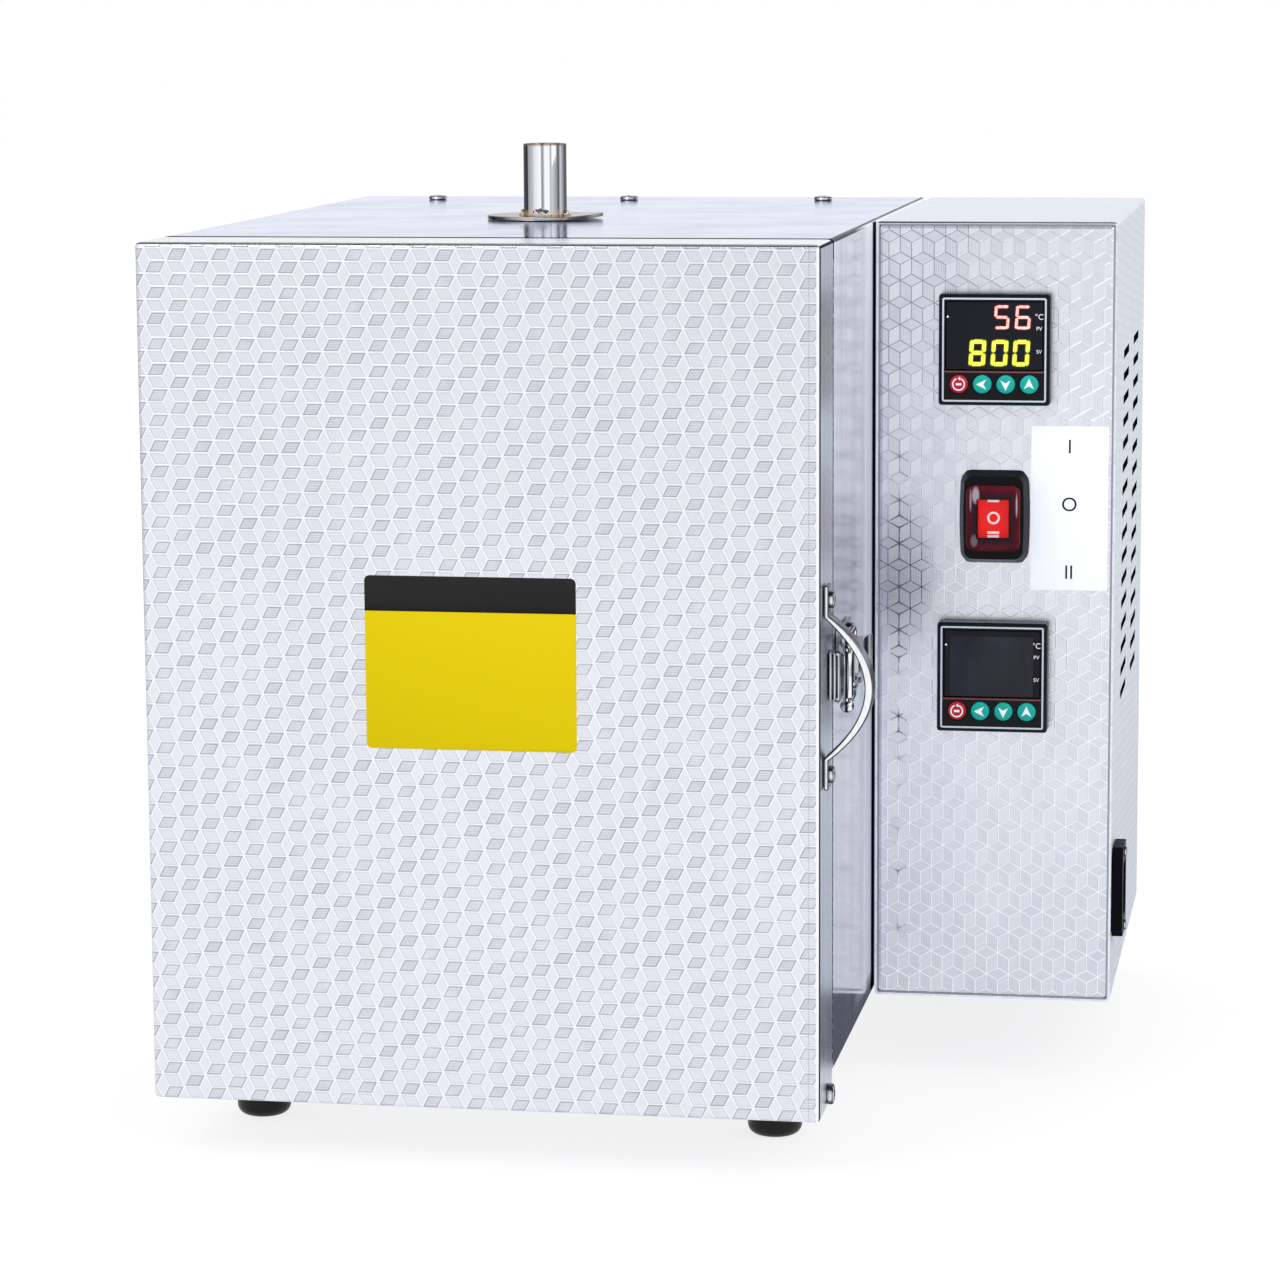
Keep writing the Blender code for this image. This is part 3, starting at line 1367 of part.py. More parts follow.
def build_furnace():
    """Build every piece of the furnace, with the moving ones on their axes."""
    wrap = build_casing()
    build_feet()
    roof, right_wall = build_chamber()
    build_chimney(wrap, roof)
    door_axis = axis_marker("door_axis", (HINGE_X, HINGE_Y, DOOR_MIDDLE))
    build_door(door_axis)
    build_hinges(door_axis)
    build_handle(door_axis)
    build_keeper(door_axis)
    build_latch_base()
    build_lever(axis_marker("latch_lever_axis", (PIVOT_X, PIVOT_Y, LATCH_Z)))
    build_bail(axis_marker("latch_bail_axis", (PIVOT_X, BAIL_Y, LATCH_Z)))
    shell, panel = build_box()
    build_thermocouple(wrap, right_wall, shell)
    for word, from_top in zip(("upper", "lower"), CONTROLLERS_FROM_TOP):
        build_controller(word, CASING_TOP - from_top, panel)
    build_switch(panel)
    build_inlet(shell, panel)
    build_relay()


build_furnace()
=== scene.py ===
"""Looks of a small jewelry casting furnace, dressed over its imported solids.

Metres, +Z up. The door faces -Y and the control box is at +X.
"""
import logging
import math
from dataclasses import dataclass
from enum import Enum
from typing import Callable, ClassVar, Iterable

import bmesh
import bpy
from mathutils import Matrix, Vector


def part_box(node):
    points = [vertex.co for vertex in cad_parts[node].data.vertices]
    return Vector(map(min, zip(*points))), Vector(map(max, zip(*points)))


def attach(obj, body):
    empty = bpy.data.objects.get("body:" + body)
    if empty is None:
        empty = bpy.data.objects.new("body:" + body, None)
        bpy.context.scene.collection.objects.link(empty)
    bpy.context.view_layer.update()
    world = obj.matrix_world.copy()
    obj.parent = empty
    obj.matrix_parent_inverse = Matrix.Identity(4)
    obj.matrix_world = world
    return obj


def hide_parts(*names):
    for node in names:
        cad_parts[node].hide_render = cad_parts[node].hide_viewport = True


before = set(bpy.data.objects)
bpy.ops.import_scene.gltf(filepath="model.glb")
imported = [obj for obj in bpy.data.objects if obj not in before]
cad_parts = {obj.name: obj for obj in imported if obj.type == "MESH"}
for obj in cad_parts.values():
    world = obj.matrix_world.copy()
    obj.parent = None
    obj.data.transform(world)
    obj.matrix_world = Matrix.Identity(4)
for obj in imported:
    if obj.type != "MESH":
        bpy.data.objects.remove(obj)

LOG = logging.getLogger("furnace")
Piece = bpy.types.Object
Material = bpy.types.Material
Pair = tuple[float, float]
Triple = tuple[float, float, float]
Colour = tuple[float, float, float, float]
Test = Callable[[Vector, Vector], bool]
MM = 0.001
FACING = 0.7
RIGHT, REAR, UP = Vector((1, 0, 0)), Vector((0, 1, 0)), Vector((0, 0, 1))


def srgb(red: float, green: float, blue: float) -> Colour:
    """Colour of a shader from the 0 to 255 values of a picture."""
    shares = (value / 255 for value in (red, green, blue))
    return tuple(share / 12.92 if share < 0.04045 else ((share + 0.055) / 1.055) ** 2.4
                 for share in shares) + (1.0,)


def shaded(colour: Colour, factor: float, lift: float = 0.0) -> Colour:
    """A colour made darker or paler."""
    return tuple(value * factor + lift for value in colour[:3]) + (1.0,)


def on_circle(radius: float, turn: float) -> Pair:
    """Point of a circle at a turn in degrees."""
    return radius * math.cos(math.radians(turn)), radius * math.sin(math.radians(turn))


WHITE = srgb(255, 255, 255)

# Node trees


@dataclass(frozen=True)
class Wire:
    """Output socket of a node that can be used in sums as a number."""

    nodes: "Nodes"
    socket: bpy.types.NodeSocket

    def __add__(self, other: "Wire | float") -> "Wire":
        """Sum of the two."""
        return self.nodes.math("ADD", self, other)

    def __radd__(self, other: float) -> "Wire":
        """Sum of the two."""
        return self.nodes.math("ADD", other, self)

    def __sub__(self, other: "Wire | float") -> "Wire":
        """Difference of the two."""
        return self.nodes.math("SUBTRACT", self, other)

    def __rsub__(self, other: float) -> "Wire":
        """Difference of the two, the number first."""
        return self.nodes.math("SUBTRACT", other, self)

    def __mul__(self, other: "Wire | float") -> "Wire":
        """Product of the two."""
        return self.nodes.math("MULTIPLY", self, other)

    def __abs__(self) -> "Wire":
        """Size without its sign."""
        return self.nodes.math("ABSOLUTE", self)

    def over(self, other: "Wire | float") -> "Wire":
        """1 where this is the greater, else 0."""
        return self.nodes.math("GREATER_THAN", self, other)

    def within(self, middle: float, half: float) -> "Wire":
        """1 where this is within half of the middle, else 0."""
        return self.nodes.math("COMPARE", self, middle, half)

    def least(self, other: "Wire | float") -> "Wire":
        """The smaller of the two."""
        return self.nodes.math("MINIMUM", self, other)

    def most(self, other: "Wire | float") -> "Wire":
        """The greater of the two."""
        return self.nodes.math("MAXIMUM", self, other)

    def lines(self, pitch: float, low: float, high: float) -> "Wire":
        """Lines at a pitch along this wire, from 0 to 1 between two levels of their wave."""
        return self.nodes.math("SINE", self * (2 * math.pi / pitch)).spread(low, high)

    def spread(self, low: float, high: float, first: float = 0.0, last: float = 1.0) -> "Wire":
        """This wire carried over from one range to another, and clamped.

        Args:
            low: value that becomes first.
            high: value that becomes last.
            first: start of the new range.
            last: end of the new range.

        Returns:
            The wire in the new range.
        """
        made = self.nodes.node("ShaderNodeMapRange")
        for socket, value in zip(made.inputs, (self, low, high, first, last)):
            self.nodes.plug(socket, value)
        return Wire(self.nodes, made.outputs[0])


class Nodes:
    """Node tree of a material or world, from empty."""

    def __init__(self, owner: bpy.types.ID) -> None:
        """Clears the tree and adds its output.

        Args:
            owner: material or world.
        """
        owner.use_nodes = True
        self.tree = owner.node_tree
        self.tree.nodes.clear()
        kind = "ShaderNodeOutputMaterial" if isinstance(owner, Material) else "ShaderNodeOutputWorld"
        self.output = self.node(kind)
        self.coordinates = self.node("ShaderNodeTexCoord")

    def node(self, kind: str, **settings: object) -> bpy.types.Node:
        """Adds a node with its settings.

        Args:
            kind: Blender's name of the node type.
            settings: properties to set on it.

        Returns:
            The new node.
        """
        made = self.tree.nodes.new(kind)
        for key, value in settings.items():
            setattr(made, key, value)
        return made

    def plug(self, socket: bpy.types.NodeSocket, value: object) -> None:
        """Joins a wire to a socket, or writes a plain value on it.

        Args:
            socket: input of a node.
            value: wire, number or colour.
        """
        if isinstance(value, Wire):
            self.tree.links.new(value.socket, socket)
        else:
            socket.default_value = value

    def shader(self, kind: str, *values: object) -> Wire:
        """Shader node whose first sockets get the given values.

        Args:
            kind: Blender's name of the node type.
            values: wires, numbers, colours or shaders.

        Returns:
            The shader.
        """
        made = self.node(kind)
        for socket, value in zip(made.inputs, values):
            self.plug(socket, value)
        return Wire(self, made.outputs[0])

    def math(self, operation: str, *values: object) -> Wire:
        """One sum of wires and numbers.

        Args:
            operation: Blender's name of the sum.
            values: its terms.

        Returns:
            The result.
        """
        made = self.node("ShaderNodeMath", operation=operation)
        for socket, value in zip(made.inputs, values):
            self.plug(socket, value)
        return Wire(self, made.outputs[0])

    def split(self, output: str) -> tuple[Wire, Wire, Wire]:
        """The three parts of the object's coordinates or of its normal.

        Args:
            output: Object or Normal.

        Returns:
            X, Y and Z.
        """
        parts = self.node("ShaderNodeSeparateXYZ")
        self.tree.links.new(self.coordinates.outputs[output], parts.inputs[0])
        return tuple(Wire(self, socket) for socket in parts.outputs)

    def mix(self, factor: object, first: object, second: object) -> Wire:
        """Mix of two colours.

        Args:
            factor: share of the second one.
            first: colour or wire.
            second: colour or wire.

        Returns:
            The mixed colour.
        """
        made = self.node("ShaderNodeMix", data_type="RGBA")
        for index, value in ((0, factor), (6, first), (7, second)):
            self.plug(made.inputs[index], value)
        return Wire(self, made.outputs[2])


class Graph(Nodes):
    """Node tree of one material round a Principled shader."""

    def __init__(self, name: str) -> None:
        """Starts the material.

        Args:
            name: name of the material.
        """
        self.material = bpy.data.materials.new(name)
        super().__init__(self.material)
        self.principled = self.node("ShaderNodeBsdfPrincipled")
        self.tree.links.new(self.principled.outputs[0], self.output.inputs["Surface"])
        self.place, self.normal = self.split("Object"), self.split("Normal")

    def set(self, **values: object) -> None:
        """Sets the shader's sockets, named in lower case with underscores.

        Args:
            values: wires or plain values for the sockets.
        """
        for socket in self.principled.inputs:
            key = socket.name.lower().replace(" ", "_")
            if key in values:
                self.plug(socket, values[key])

    def noise(self, scale: float, detail: float = 2.0, stretch: Triple = (1.0, 1.0, 1.0)) -> Wire:
        """Smooth noise on the object's coordinates.

        Args:
            scale: waves per metre.
            detail: octaves of finer noise.
            stretch: factor on each axis, for brushed or drawn grain.

        Returns:
            Noise from 0 to 1.
        """
        mapping = self.node("ShaderNodeMapping")
        mapping.inputs["Scale"].default_value = stretch
        self.tree.links.new(self.coordinates.outputs["Object"], mapping.inputs[0])
        made = self.node("ShaderNodeTexNoise")
        made.inputs["Scale"].default_value, made.inputs["Detail"].default_value = scale, detail
        self.tree.links.new(mapping.outputs[0], made.inputs["Vector"])
        return Wire(self, made.outputs[0])

    def ramp(self, factor: Wire, stops: list[tuple[float, Colour]]) -> Wire:
        """Colours laid out along a factor from 0 to 1.

        Args:
            factor: where along the colours.
            stops: place and colour of each stop, in order.

        Returns:
            The colour there.
        """
        made = self.node("ShaderNodeValToRGB")
        self.plug(made.inputs[0], factor)
        while len(made.color_ramp.elements) < len(stops):
            made.color_ramp.elements.new(0.5)
        for element, (place, colour) in zip(made.color_ramp.elements, stops):
            element.position, element.color = place, colour
        return Wire(self, made.outputs[0])

    def bump(self, height: Wire, distance: float) -> Material:
        """Lays a fine relief over the surface, which completes it.

        Args:
            height: relief from 0 to 1.
            distance: height of the relief in metres.

        Returns:
            The finished material.
        """
        made = self.node("ShaderNodeBump")
        made.inputs["Strength"].default_value, made.inputs["Distance"].default_value = 1.0, distance
        self.plug(made.inputs["Height"], height)
        self.tree.links.new(made.outputs[0], self.principled.inputs["Normal"])
        return self.material


# Finishes


@dataclass(frozen=True)
class Faces:
    """The faces of the stacked cubes at a point, each 0 or 1, and the ridges."""

    top: Wire
    left: Wire
    right: Wire
    ridge: Wire
    near: Wire
    star: Wire


@dataclass(frozen=True)
class CubeEmboss:
    """Stacked-cube embossing of the sheet: its sizes and where it starts."""

    half: float
    rise: float
    edge: float
    across_start: float
    along_start: float
    ridge: float

    def draw(self, graph: Graph, across: Wire, along: Wire) -> Faces:
        """Finds the face and the ridge at each point of the sheet.

        Args:
            graph: node tree of the material.
            across: coordinate across the cubes.
            along: coordinate along their straight edges.

        Returns:
            The faces and ridges there.
        """
        period = 2 * (self.rise + self.edge)
        shifted = graph.math("WRAP", across - self.across_start, self.half, -self.half)
        place = graph.math("FLOORED_MODULO", along - self.along_start, period)
        slant = abs(shifted) * (self.rise / self.half)
        borders = (slant, 2 * self.rise - slant, 2 * self.rise + self.edge - slant,
                   2 * self.rise + self.edge + slant)
        above = [place.over(border) for border in borders]
        top = above[0] - above[1] + above[2] - above[3]
        second = above[1] - above[2]
        first = 1.0 - top - second
        positive = shifted.over(0.0)
        right = first * positive + second * (1.0 - positive)
        away = abs(place - borders[0])
        for border in (*borders[1:], borders[0] + period):
            away = away.least(abs(place - border))
        away = away * (self.half / math.hypot(self.half, self.rise))
        upright = abs(shifted).least(self.half - abs(shifted))
        near = away.least(upright + top)
        return Faces(top, first + second - right, right, near.spread(self.ridge * 0.45, self.ridge, 1.0, 0.0),
                     near, away + upright)


class Sheet(Enum):
    """How the embossed sheet lies on a piece."""

    DOOR = "turned, on the door's front"
    PANEL = "upright, on the control panel"
    WRAP = "upright, on the bent shells"


@dataclass(frozen=True)
class EmbossedSteel:
    """Bright stainless sheet with stacked cubes pressed into it."""

    name: str
    emboss: CubeEmboss
    sheet: Sheet
    pale: Colour
    dark: Colour
    ridge: Colour
    edge: Colour
    hatch: float = 1.0 * MM
    roughness: float = 0.24
    relief: float = 0.06 * MM

    def build(self) -> Material:
        """Builds the material.

        Returns:
            The material.
        """
        graph = Graph(self.name)
        paint = {Sheet.DOOR: self.door, Sheet.PANEL: self.panel, Sheet.WRAP: self.wrap}[self.sheet]
        colour, relief = paint(graph)
        fine, patches, _ = self.noises(graph)
        graph.set(base_color=colour, roughness=patches * 0.08 + self.roughness)
        return graph.bump(relief + fine * 0.04, self.relief)

    @staticmethod
    def noises(graph: Graph) -> tuple[Wire, Wire, Wire]:
        """Fine, patchy and wide noise."""
        return graph.noise(2600.0, 1.0), graph.noise(70.0, 3.0), graph.noise(11.0, 2.0)

    def folded(self, graph: Graph, colour: Wire, relief: Wire) -> tuple[Wire, Wire]:
        """Keeps the pattern to the front and gives the folds round it drawn streaks.

        Args:
            graph: node tree of the material.
            colour: colour of the front.
            relief: relief of the front.

        Returns:
            Colour and relief of the whole sheet.
        """
        flat = abs(graph.normal[1]).over(0.8)
        drawn = graph.noise(420.0, 3.0, (1.0, 1.0, 0.012))
        plain = graph.mix(drawn.spread(0.38, 0.68), self.edge, shaded(self.edge, 0.74))
        graph.set(metallic=1.0)
        return graph.mix(flat, plain, colour), relief * flat

    def door(self, graph: Graph) -> tuple[Wire, Wire]:
        """Door: fine ruled dark faces among pale ones, painted shadow beside the ridges, painted highlights
        that make the folds and the top pale, and painted dark lines on the folds and along the top's rear edge.

        Args:
            graph: node tree of the material.

        Returns:
            Colour and relief.
        """
        x, y, z = graph.place
        normal_x, _, normal_z = graph.normal
        fine, patches, wide = self.noises(graph)
        faces = self.emboss.draw(graph, z, x)
        ruled = z.lines(self.hatch, -0.6, 0.8)
        cross = (x + z * 0.45).lines(self.hatch / 0.8, -0.7, 0.9)
        shade = faces.right * (0.35 + ruled * 0.33) * patches.spread(0.36, 0.62, 0.45, 1.0)
        shade = shade + (faces.left * 0.16 + faces.top * 0.05) * (0.4 + cross * 0.8)
        shade = shade + fine.spread(0.35, 0.8, 0.0, 0.14) + wide.spread(0.4, 0.7, 0.0, 0.07)
        colour = graph.mix(shade, self.pale, self.dark)
        # Painted shadow: a darker band just inside the ridges of the right and left faces.
        border = faces.near.spread(self.emboss.ridge * 1.5, self.emboss.ridge * 2.4, 1.0, 0.0)
        border = border * (faces.right + faces.left * 0.3) * patches.spread(0.3, 0.6, 0.5, 0.95)
        colour = graph.mix(border, colour, srgb(158, 162, 175))
        colour = graph.mix(faces.ridge * patches.spread(0.25, 0.55, 0.62, 0.92), colour, self.ridge)
        dots = x.within(82.6 * MM, 0.28 * MM) * z.lines(self.hatch / 0.9, -0.2, 0.2)
        colour = graph.mix(dots * 0.55, colour, srgb(150, 154, 166))
        colour, relief = self.folded(graph, colour, faces.ridge + faces.right * ruled * 0.2 + cross * 0.05)
        # Painted light on the folds: dark lines on the top and right folds and along the top's rear edge, and a
        # painted highlight on the right fold and the top.
        fold = (normal_z.over(0.04) - normal_z.over(0.6)) * z.over(377.1 * MM)
        fold = fold + normal_x.over(0.6) - normal_x.over(0.97)
        pale = (normal_x.over(0.2) - normal_x.over(0.6)).most(normal_z.over(0.6))
        line = fold.most(normal_z.over(0.8) * y.over(-163.2 * MM))
        colour = graph.mix(line, graph.mix(pale, colour, srgb(246, 248, 253)), srgb(62, 62, 68))
        graph.set(metallic=1.0 - line, specular_ior_level=0.0)
        return colour, relief

    def panel(self, graph: Graph) -> tuple[Wire, Wire]:
        """Control panel: painted light, so that its lines go from dark at the upper left to pale at the lower
        right, painted shade along the left edge and towards the bottom, and a dark blot of cubes.

        Args:
            graph: node tree of the material.

        Returns:
            Colour and relief.
        """
        x, _, z = graph.place
        fine, patches, wide = self.noises(graph)
        faces = self.emboss.draw(graph, x, z)
        ruled = x.lines(self.hatch, -0.6, 0.8)
        left, top, width, height = 89 * MM, 378 * MM, 104 * MM, 342 * MM
        # Painted light: faces and ridge lines go from shaded at the upper left to lit at the lower right.
        painted_light_fade = (x - left) * (0.62 / width) + (top - z) * (0.95 / height) + wide * 0.5 - 0.25
        painted_light_fade = painted_light_fade.spread(0.22, 0.68)
        reach_x, reach_z = (x - 101.0 * MM) * (1 / (16 * MM)), (z - 226 * MM) * (1 / (40 * MM))
        blot = (reach_x * reach_x + reach_z * reach_z).spread(0.1, 1.0, 1.0, 0.0)
        # Painted shade along the left edge, above 130 mm.
        left_edge_shade = x.spread(left, left + 15 * MM, 1.0, 0.0) * z.spread(130 * MM, 200 * MM)
        shade = faces.left * (0.25 + ruled * 0.45) + faces.top * 0.42 + faces.right * 0.06
        shade = shade * painted_light_fade.spread(0.0, 1.0, 0.78, 0.38) * patches.spread(0.3, 0.65, 0.5, 1.0)
        shade = shade + fine.spread(0.35, 0.8, 0.0, 0.16) + wide.spread(0.42, 0.66, 0.0, 0.12)
        # Painted shade: the faces darker towards the bottom.
        shade = shade + blot * 0.34 + left_edge_shade * 0.2 + z.spread(60 * MM, 240 * MM, 0.24, -0.05)
        colour = graph.mix(shade, self.pale, self.dark)
        line = graph.mix(painted_light_fade, srgb(146, 149, 162), self.ridge)
        line = graph.mix((blot * 1.3).least(1.0), line, srgb(70, 72, 86))
        strength = (painted_light_fade - 0.5) * (painted_light_fade - 0.5) * 2.2 + 0.35 + blot * 0.5
        colour = graph.mix(faces.ridge * strength, colour, line)
        column = z.spread(266 * MM, 292 * MM, 1.0, 0.0) * z.spread(52 * MM, 70 * MM)
        thin = (faces.near.spread(0.15 * MM, 0.45 * MM, 1.0, 0.0)
                * faces.star.spread(1.2 * MM, 4.0 * MM, 1.0, 0.0))
        star = (thin + faces.star.spread(0.0, 1.0 * MM, 0.6, 0.0)) * column * x.within(99.6 * MM, 3.6 * MM)
        star = star * (patches.spread(0.44, 0.58, 0.0, 0.8) + blot * 0.7).least(1.0)
        colour = graph.mix(star, colour, srgb(98, 100, 114))
        return self.folded(graph, colour, faces.ridge + faces.left * ruled * 0.2)

    def wrap(self, graph: Graph) -> tuple[Wire, Wire]:
        """Bent shell: faint cubes, a bluish outer side, a painted reflection that tints the top bluish, painted
        shade as a dark rim line and a grey line on the bends, and black painted shade in the slots and inside.

        Args:
            graph: node tree of the material.

        Returns:
            Colour and relief.
        """
        x, y, z = graph.place
        normal_x, normal_y, normal_z = graph.normal
        side, lying = abs(normal_x).over(FACING), abs(normal_z).over(FACING)
        across = x * (1.0 - side) + y * side
        along = z * (1.0 - lying) + y * lying
        faces = self.emboss.draw(graph, across, along)
        lines = (across + along * 0.6).lines(self.hatch, -1.0, 1.0)
        colour = graph.mix(lines * 0.35 + faces.top * 0.3, self.pale, self.dark)
        ridge = faces.ridge * 0.35
        # Painted reflection: the lying faces tinted bluish.
        colour = graph.mix(lying * 0.42, graph.mix(ridge, colour, self.ridge), srgb(200, 212, 244))
        # Painted shade: the front rim above the panel, dark at the left and grey at the right.
        rim = (normal_y * -1.0).over(0.5) * z.over(377.35 * MM)
        tone = graph.mix(x.spread(90 * MM, 150 * MM), srgb(22, 23, 28), srgb(122, 124, 136))
        colour = graph.mix(rim, colour, tone)
        # Painted shade: a grey line on the bends between the top and the sides.
        colour = graph.mix(normal_z.over(0.2) - lying, colour, srgb(150, 153, 165))
        # Painted shade: black in and round the vent slots and on their cut walls.
        hole = self.slots(graph)
        outer = graph.mix(side, colour, self.flank(graph))
        graph.set(metallic=1.0 - hole.most(side * 0.74).most(rim * 0.9), specular_ior_level=0.0)
        return graph.mix(hole, outer, srgb(12, 12, 14)), ridge + lines * 0.1

    @staticmethod
    def slots(graph: Graph) -> Wire:
        """Painted shade of the shell: black in and round its vent slots and on their cut walls.

        Args:
            graph: node tree of the material.

        Returns:
            1 there, else 0.
        """
        _, y, z = graph.place
        normal_x, normal_y, normal_z = graph.normal
        first, second, bottom, pitch, vents = 53 * MM, 133 * MM, 240 * MM, 5.1 * MM, 81.6 * MM
        walls = y.within((first + second) / 2, 62 * MM) * abs(normal_y).over(0.5)
        walls = walls + z.within(207 * MM, 169 * MM) * abs(normal_z).over(0.5)
        column = abs(y - first).least(abs(y - second)).spread(20.4 * MM, 21.0 * MM, 1.0, 0.0)
        row = abs(graph.math("WRAP", z - 316.5 * MM, pitch, -pitch)).spread(1.8 * MM, 2.0 * MM, 1.0, 0.0)
        return walls.most(column * row * z.within(bottom, vents) * normal_x.over(FACING))

    @staticmethod
    def flank(graph: Graph) -> Wire:
        """Colour of the box's outer side: bluish, with fine slanting lines and painted shade towards the
        bottom.

        Args:
            graph: node tree of the material.

        Returns:
            The colour there.
        """
        _, y, z = graph.place
        lines = (z - y * 0.28).lines(3.1 * MM, -0.5, 0.8) * graph.noise(70.0, 3.0).spread(0.35, 0.6)
        cross = (z + y * 0.10).lines(4.6 * MM, 0.1, 0.9)
        # Painted shade: the side darker towards the bottom.
        shade = lines * 0.3 + cross * 0.22 + z.spread(40 * MM, 260 * MM, 0.3, 0.0)
        return graph.mix(shade, srgb(240, 246, 255), srgb(206, 213, 232))


@dataclass(frozen=True)
class SmoothSteel:
    """Plain bright metal with drawn grain and handling marks."""

    name: str
    colour: Colour
    roughness: float
    stretch: Triple = (1.0, 1.0, 1.0)
    marks: float = 0.35
    # Share of painted dark reflection at eased edges, with painted shade underneath and on faces turned to +X.
    outline: float = 0.0

    def build(self) -> Material:
        """Builds the material; with an outline it gets painted reflection and shade, dark at eased edges as
        polished metal is in a white room, darker underneath and on faces turned to +X.

        Returns:
            The material.
        """
        graph = Graph(self.name)
        grain, clouds = graph.noise(900.0, 3.0, self.stretch), graph.noise(38.0, 3.0)
        darker = shaded(self.colour, 0.72)
        colour = graph.mix(grain.spread(0.3, 0.75, 0.0, self.marks), self.colour, darker)
        colour = graph.mix(clouds.spread(0.5, 0.75, 0.0, self.marks), colour, darker)
        # Painted reflection and shade: dark eased edges, dark undersides and darker faces turned to +X.
        if self.outline:
            normal_x, normal_y, normal_z = graph.normal
            most = abs(normal_x).most(abs(normal_y)).most(abs(normal_z))
            edge = most.spread(0.80, 0.97, self.outline, 0.0)
            under = normal_z.spread(-0.9, -0.4, self.outline * 0.7, 0.0)
            flank = normal_x.spread(0.6, 0.95, 0.0, self.outline * 0.28)
            colour = graph.mix(edge.most(under + flank), colour, srgb(44, 46, 56))
            graph.set(specular_tint=colour)
        rough = clouds.spread(0.3, 0.7, self.roughness * 0.92, self.roughness * 1.15)
        graph.set(base_color=colour, metallic=1.0, roughness=rough)
        return graph.bump(grain, 0.012 * MM)


@dataclass(frozen=True)
class PlatedWire:
    """Plated round wire and rollers, with painted reflections as black and white bands along their length, and
    painted shade underneath.
    """

    name: str
    reflection_tones: tuple[tuple[float, int], ...] = (
        (0.0, 40), (0.09, 52), (0.16, 232), (0.36, 242), (0.43, 36), (0.58, 30), (0.65, 236),
        (0.86, 248), (0.94, 66), (1.0, 50))

    def build(self) -> Material:
        """Builds the material.

        Returns:
            The material.
        """
        graph = Graph(self.name)
        normal_x, _, normal_z = graph.normal
        stops = [(place, srgb(tone, tone + 1, min(255, tone + 6))) for place, tone in self.reflection_tones]
        # Painted reflection: black and white bands by the normal's X; painted shade on the undersides.
        colour = graph.ramp(normal_x.spread(-1.0, 1.0), stops)
        colour = graph.mix(normal_z.spread(-0.95, -0.4, 0.85, 0.0), colour, srgb(46, 48, 56))
        grain = graph.noise(900.0, 3.0)
        graph.set(base_color=colour, specular_tint=colour, metallic=1.0,
                  roughness=grain.spread(0.3, 0.7, 0.1, 0.16))
        return graph.bump(grain, 0.006 * MM)


@dataclass(frozen=True)
class StrapSteel:
    """Polished strap: pale front, with painted reflections as dark lines along its rounded edges, and painted
    shade on its sides and underneath.
    """

    name: str
    colour: Colour
    # Colour of the painted dark edge lines and shade.
    line: Colour
    roughness: float

    def build(self) -> Material:
        """Builds the material.

        Returns:
            The material.
        """
        graph = Graph(self.name)
        normal_x, normal_y, normal_z = graph.normal
        grain = graph.noise(700.0, 2.0, (1.0, 1.0, 0.2))
        front = abs(normal_y)
        # Painted reflection: dark lines along the rounded edges; painted shade on the sides and undersides.
        side = front.spread(0.84, 0.97, 1.0, 0.0) * front.spread(0.06, 0.28)
        shade = side * normal_x.spread(-0.5, 0.1, 1.0, 0.75) + front.spread(0.1, 0.3, 0.34, 0.0)
        shade = shade + grain.spread(0.3, 0.8, 0.0, 0.16) + normal_z.spread(-0.6, 0.0, 0.25, 0.0)
        colour = graph.mix(shade, self.colour, self.line)
        graph.set(base_color=colour, specular_tint=colour, metallic=1.0, roughness=self.roughness)
        return graph.bump(grain, 0.008 * MM)


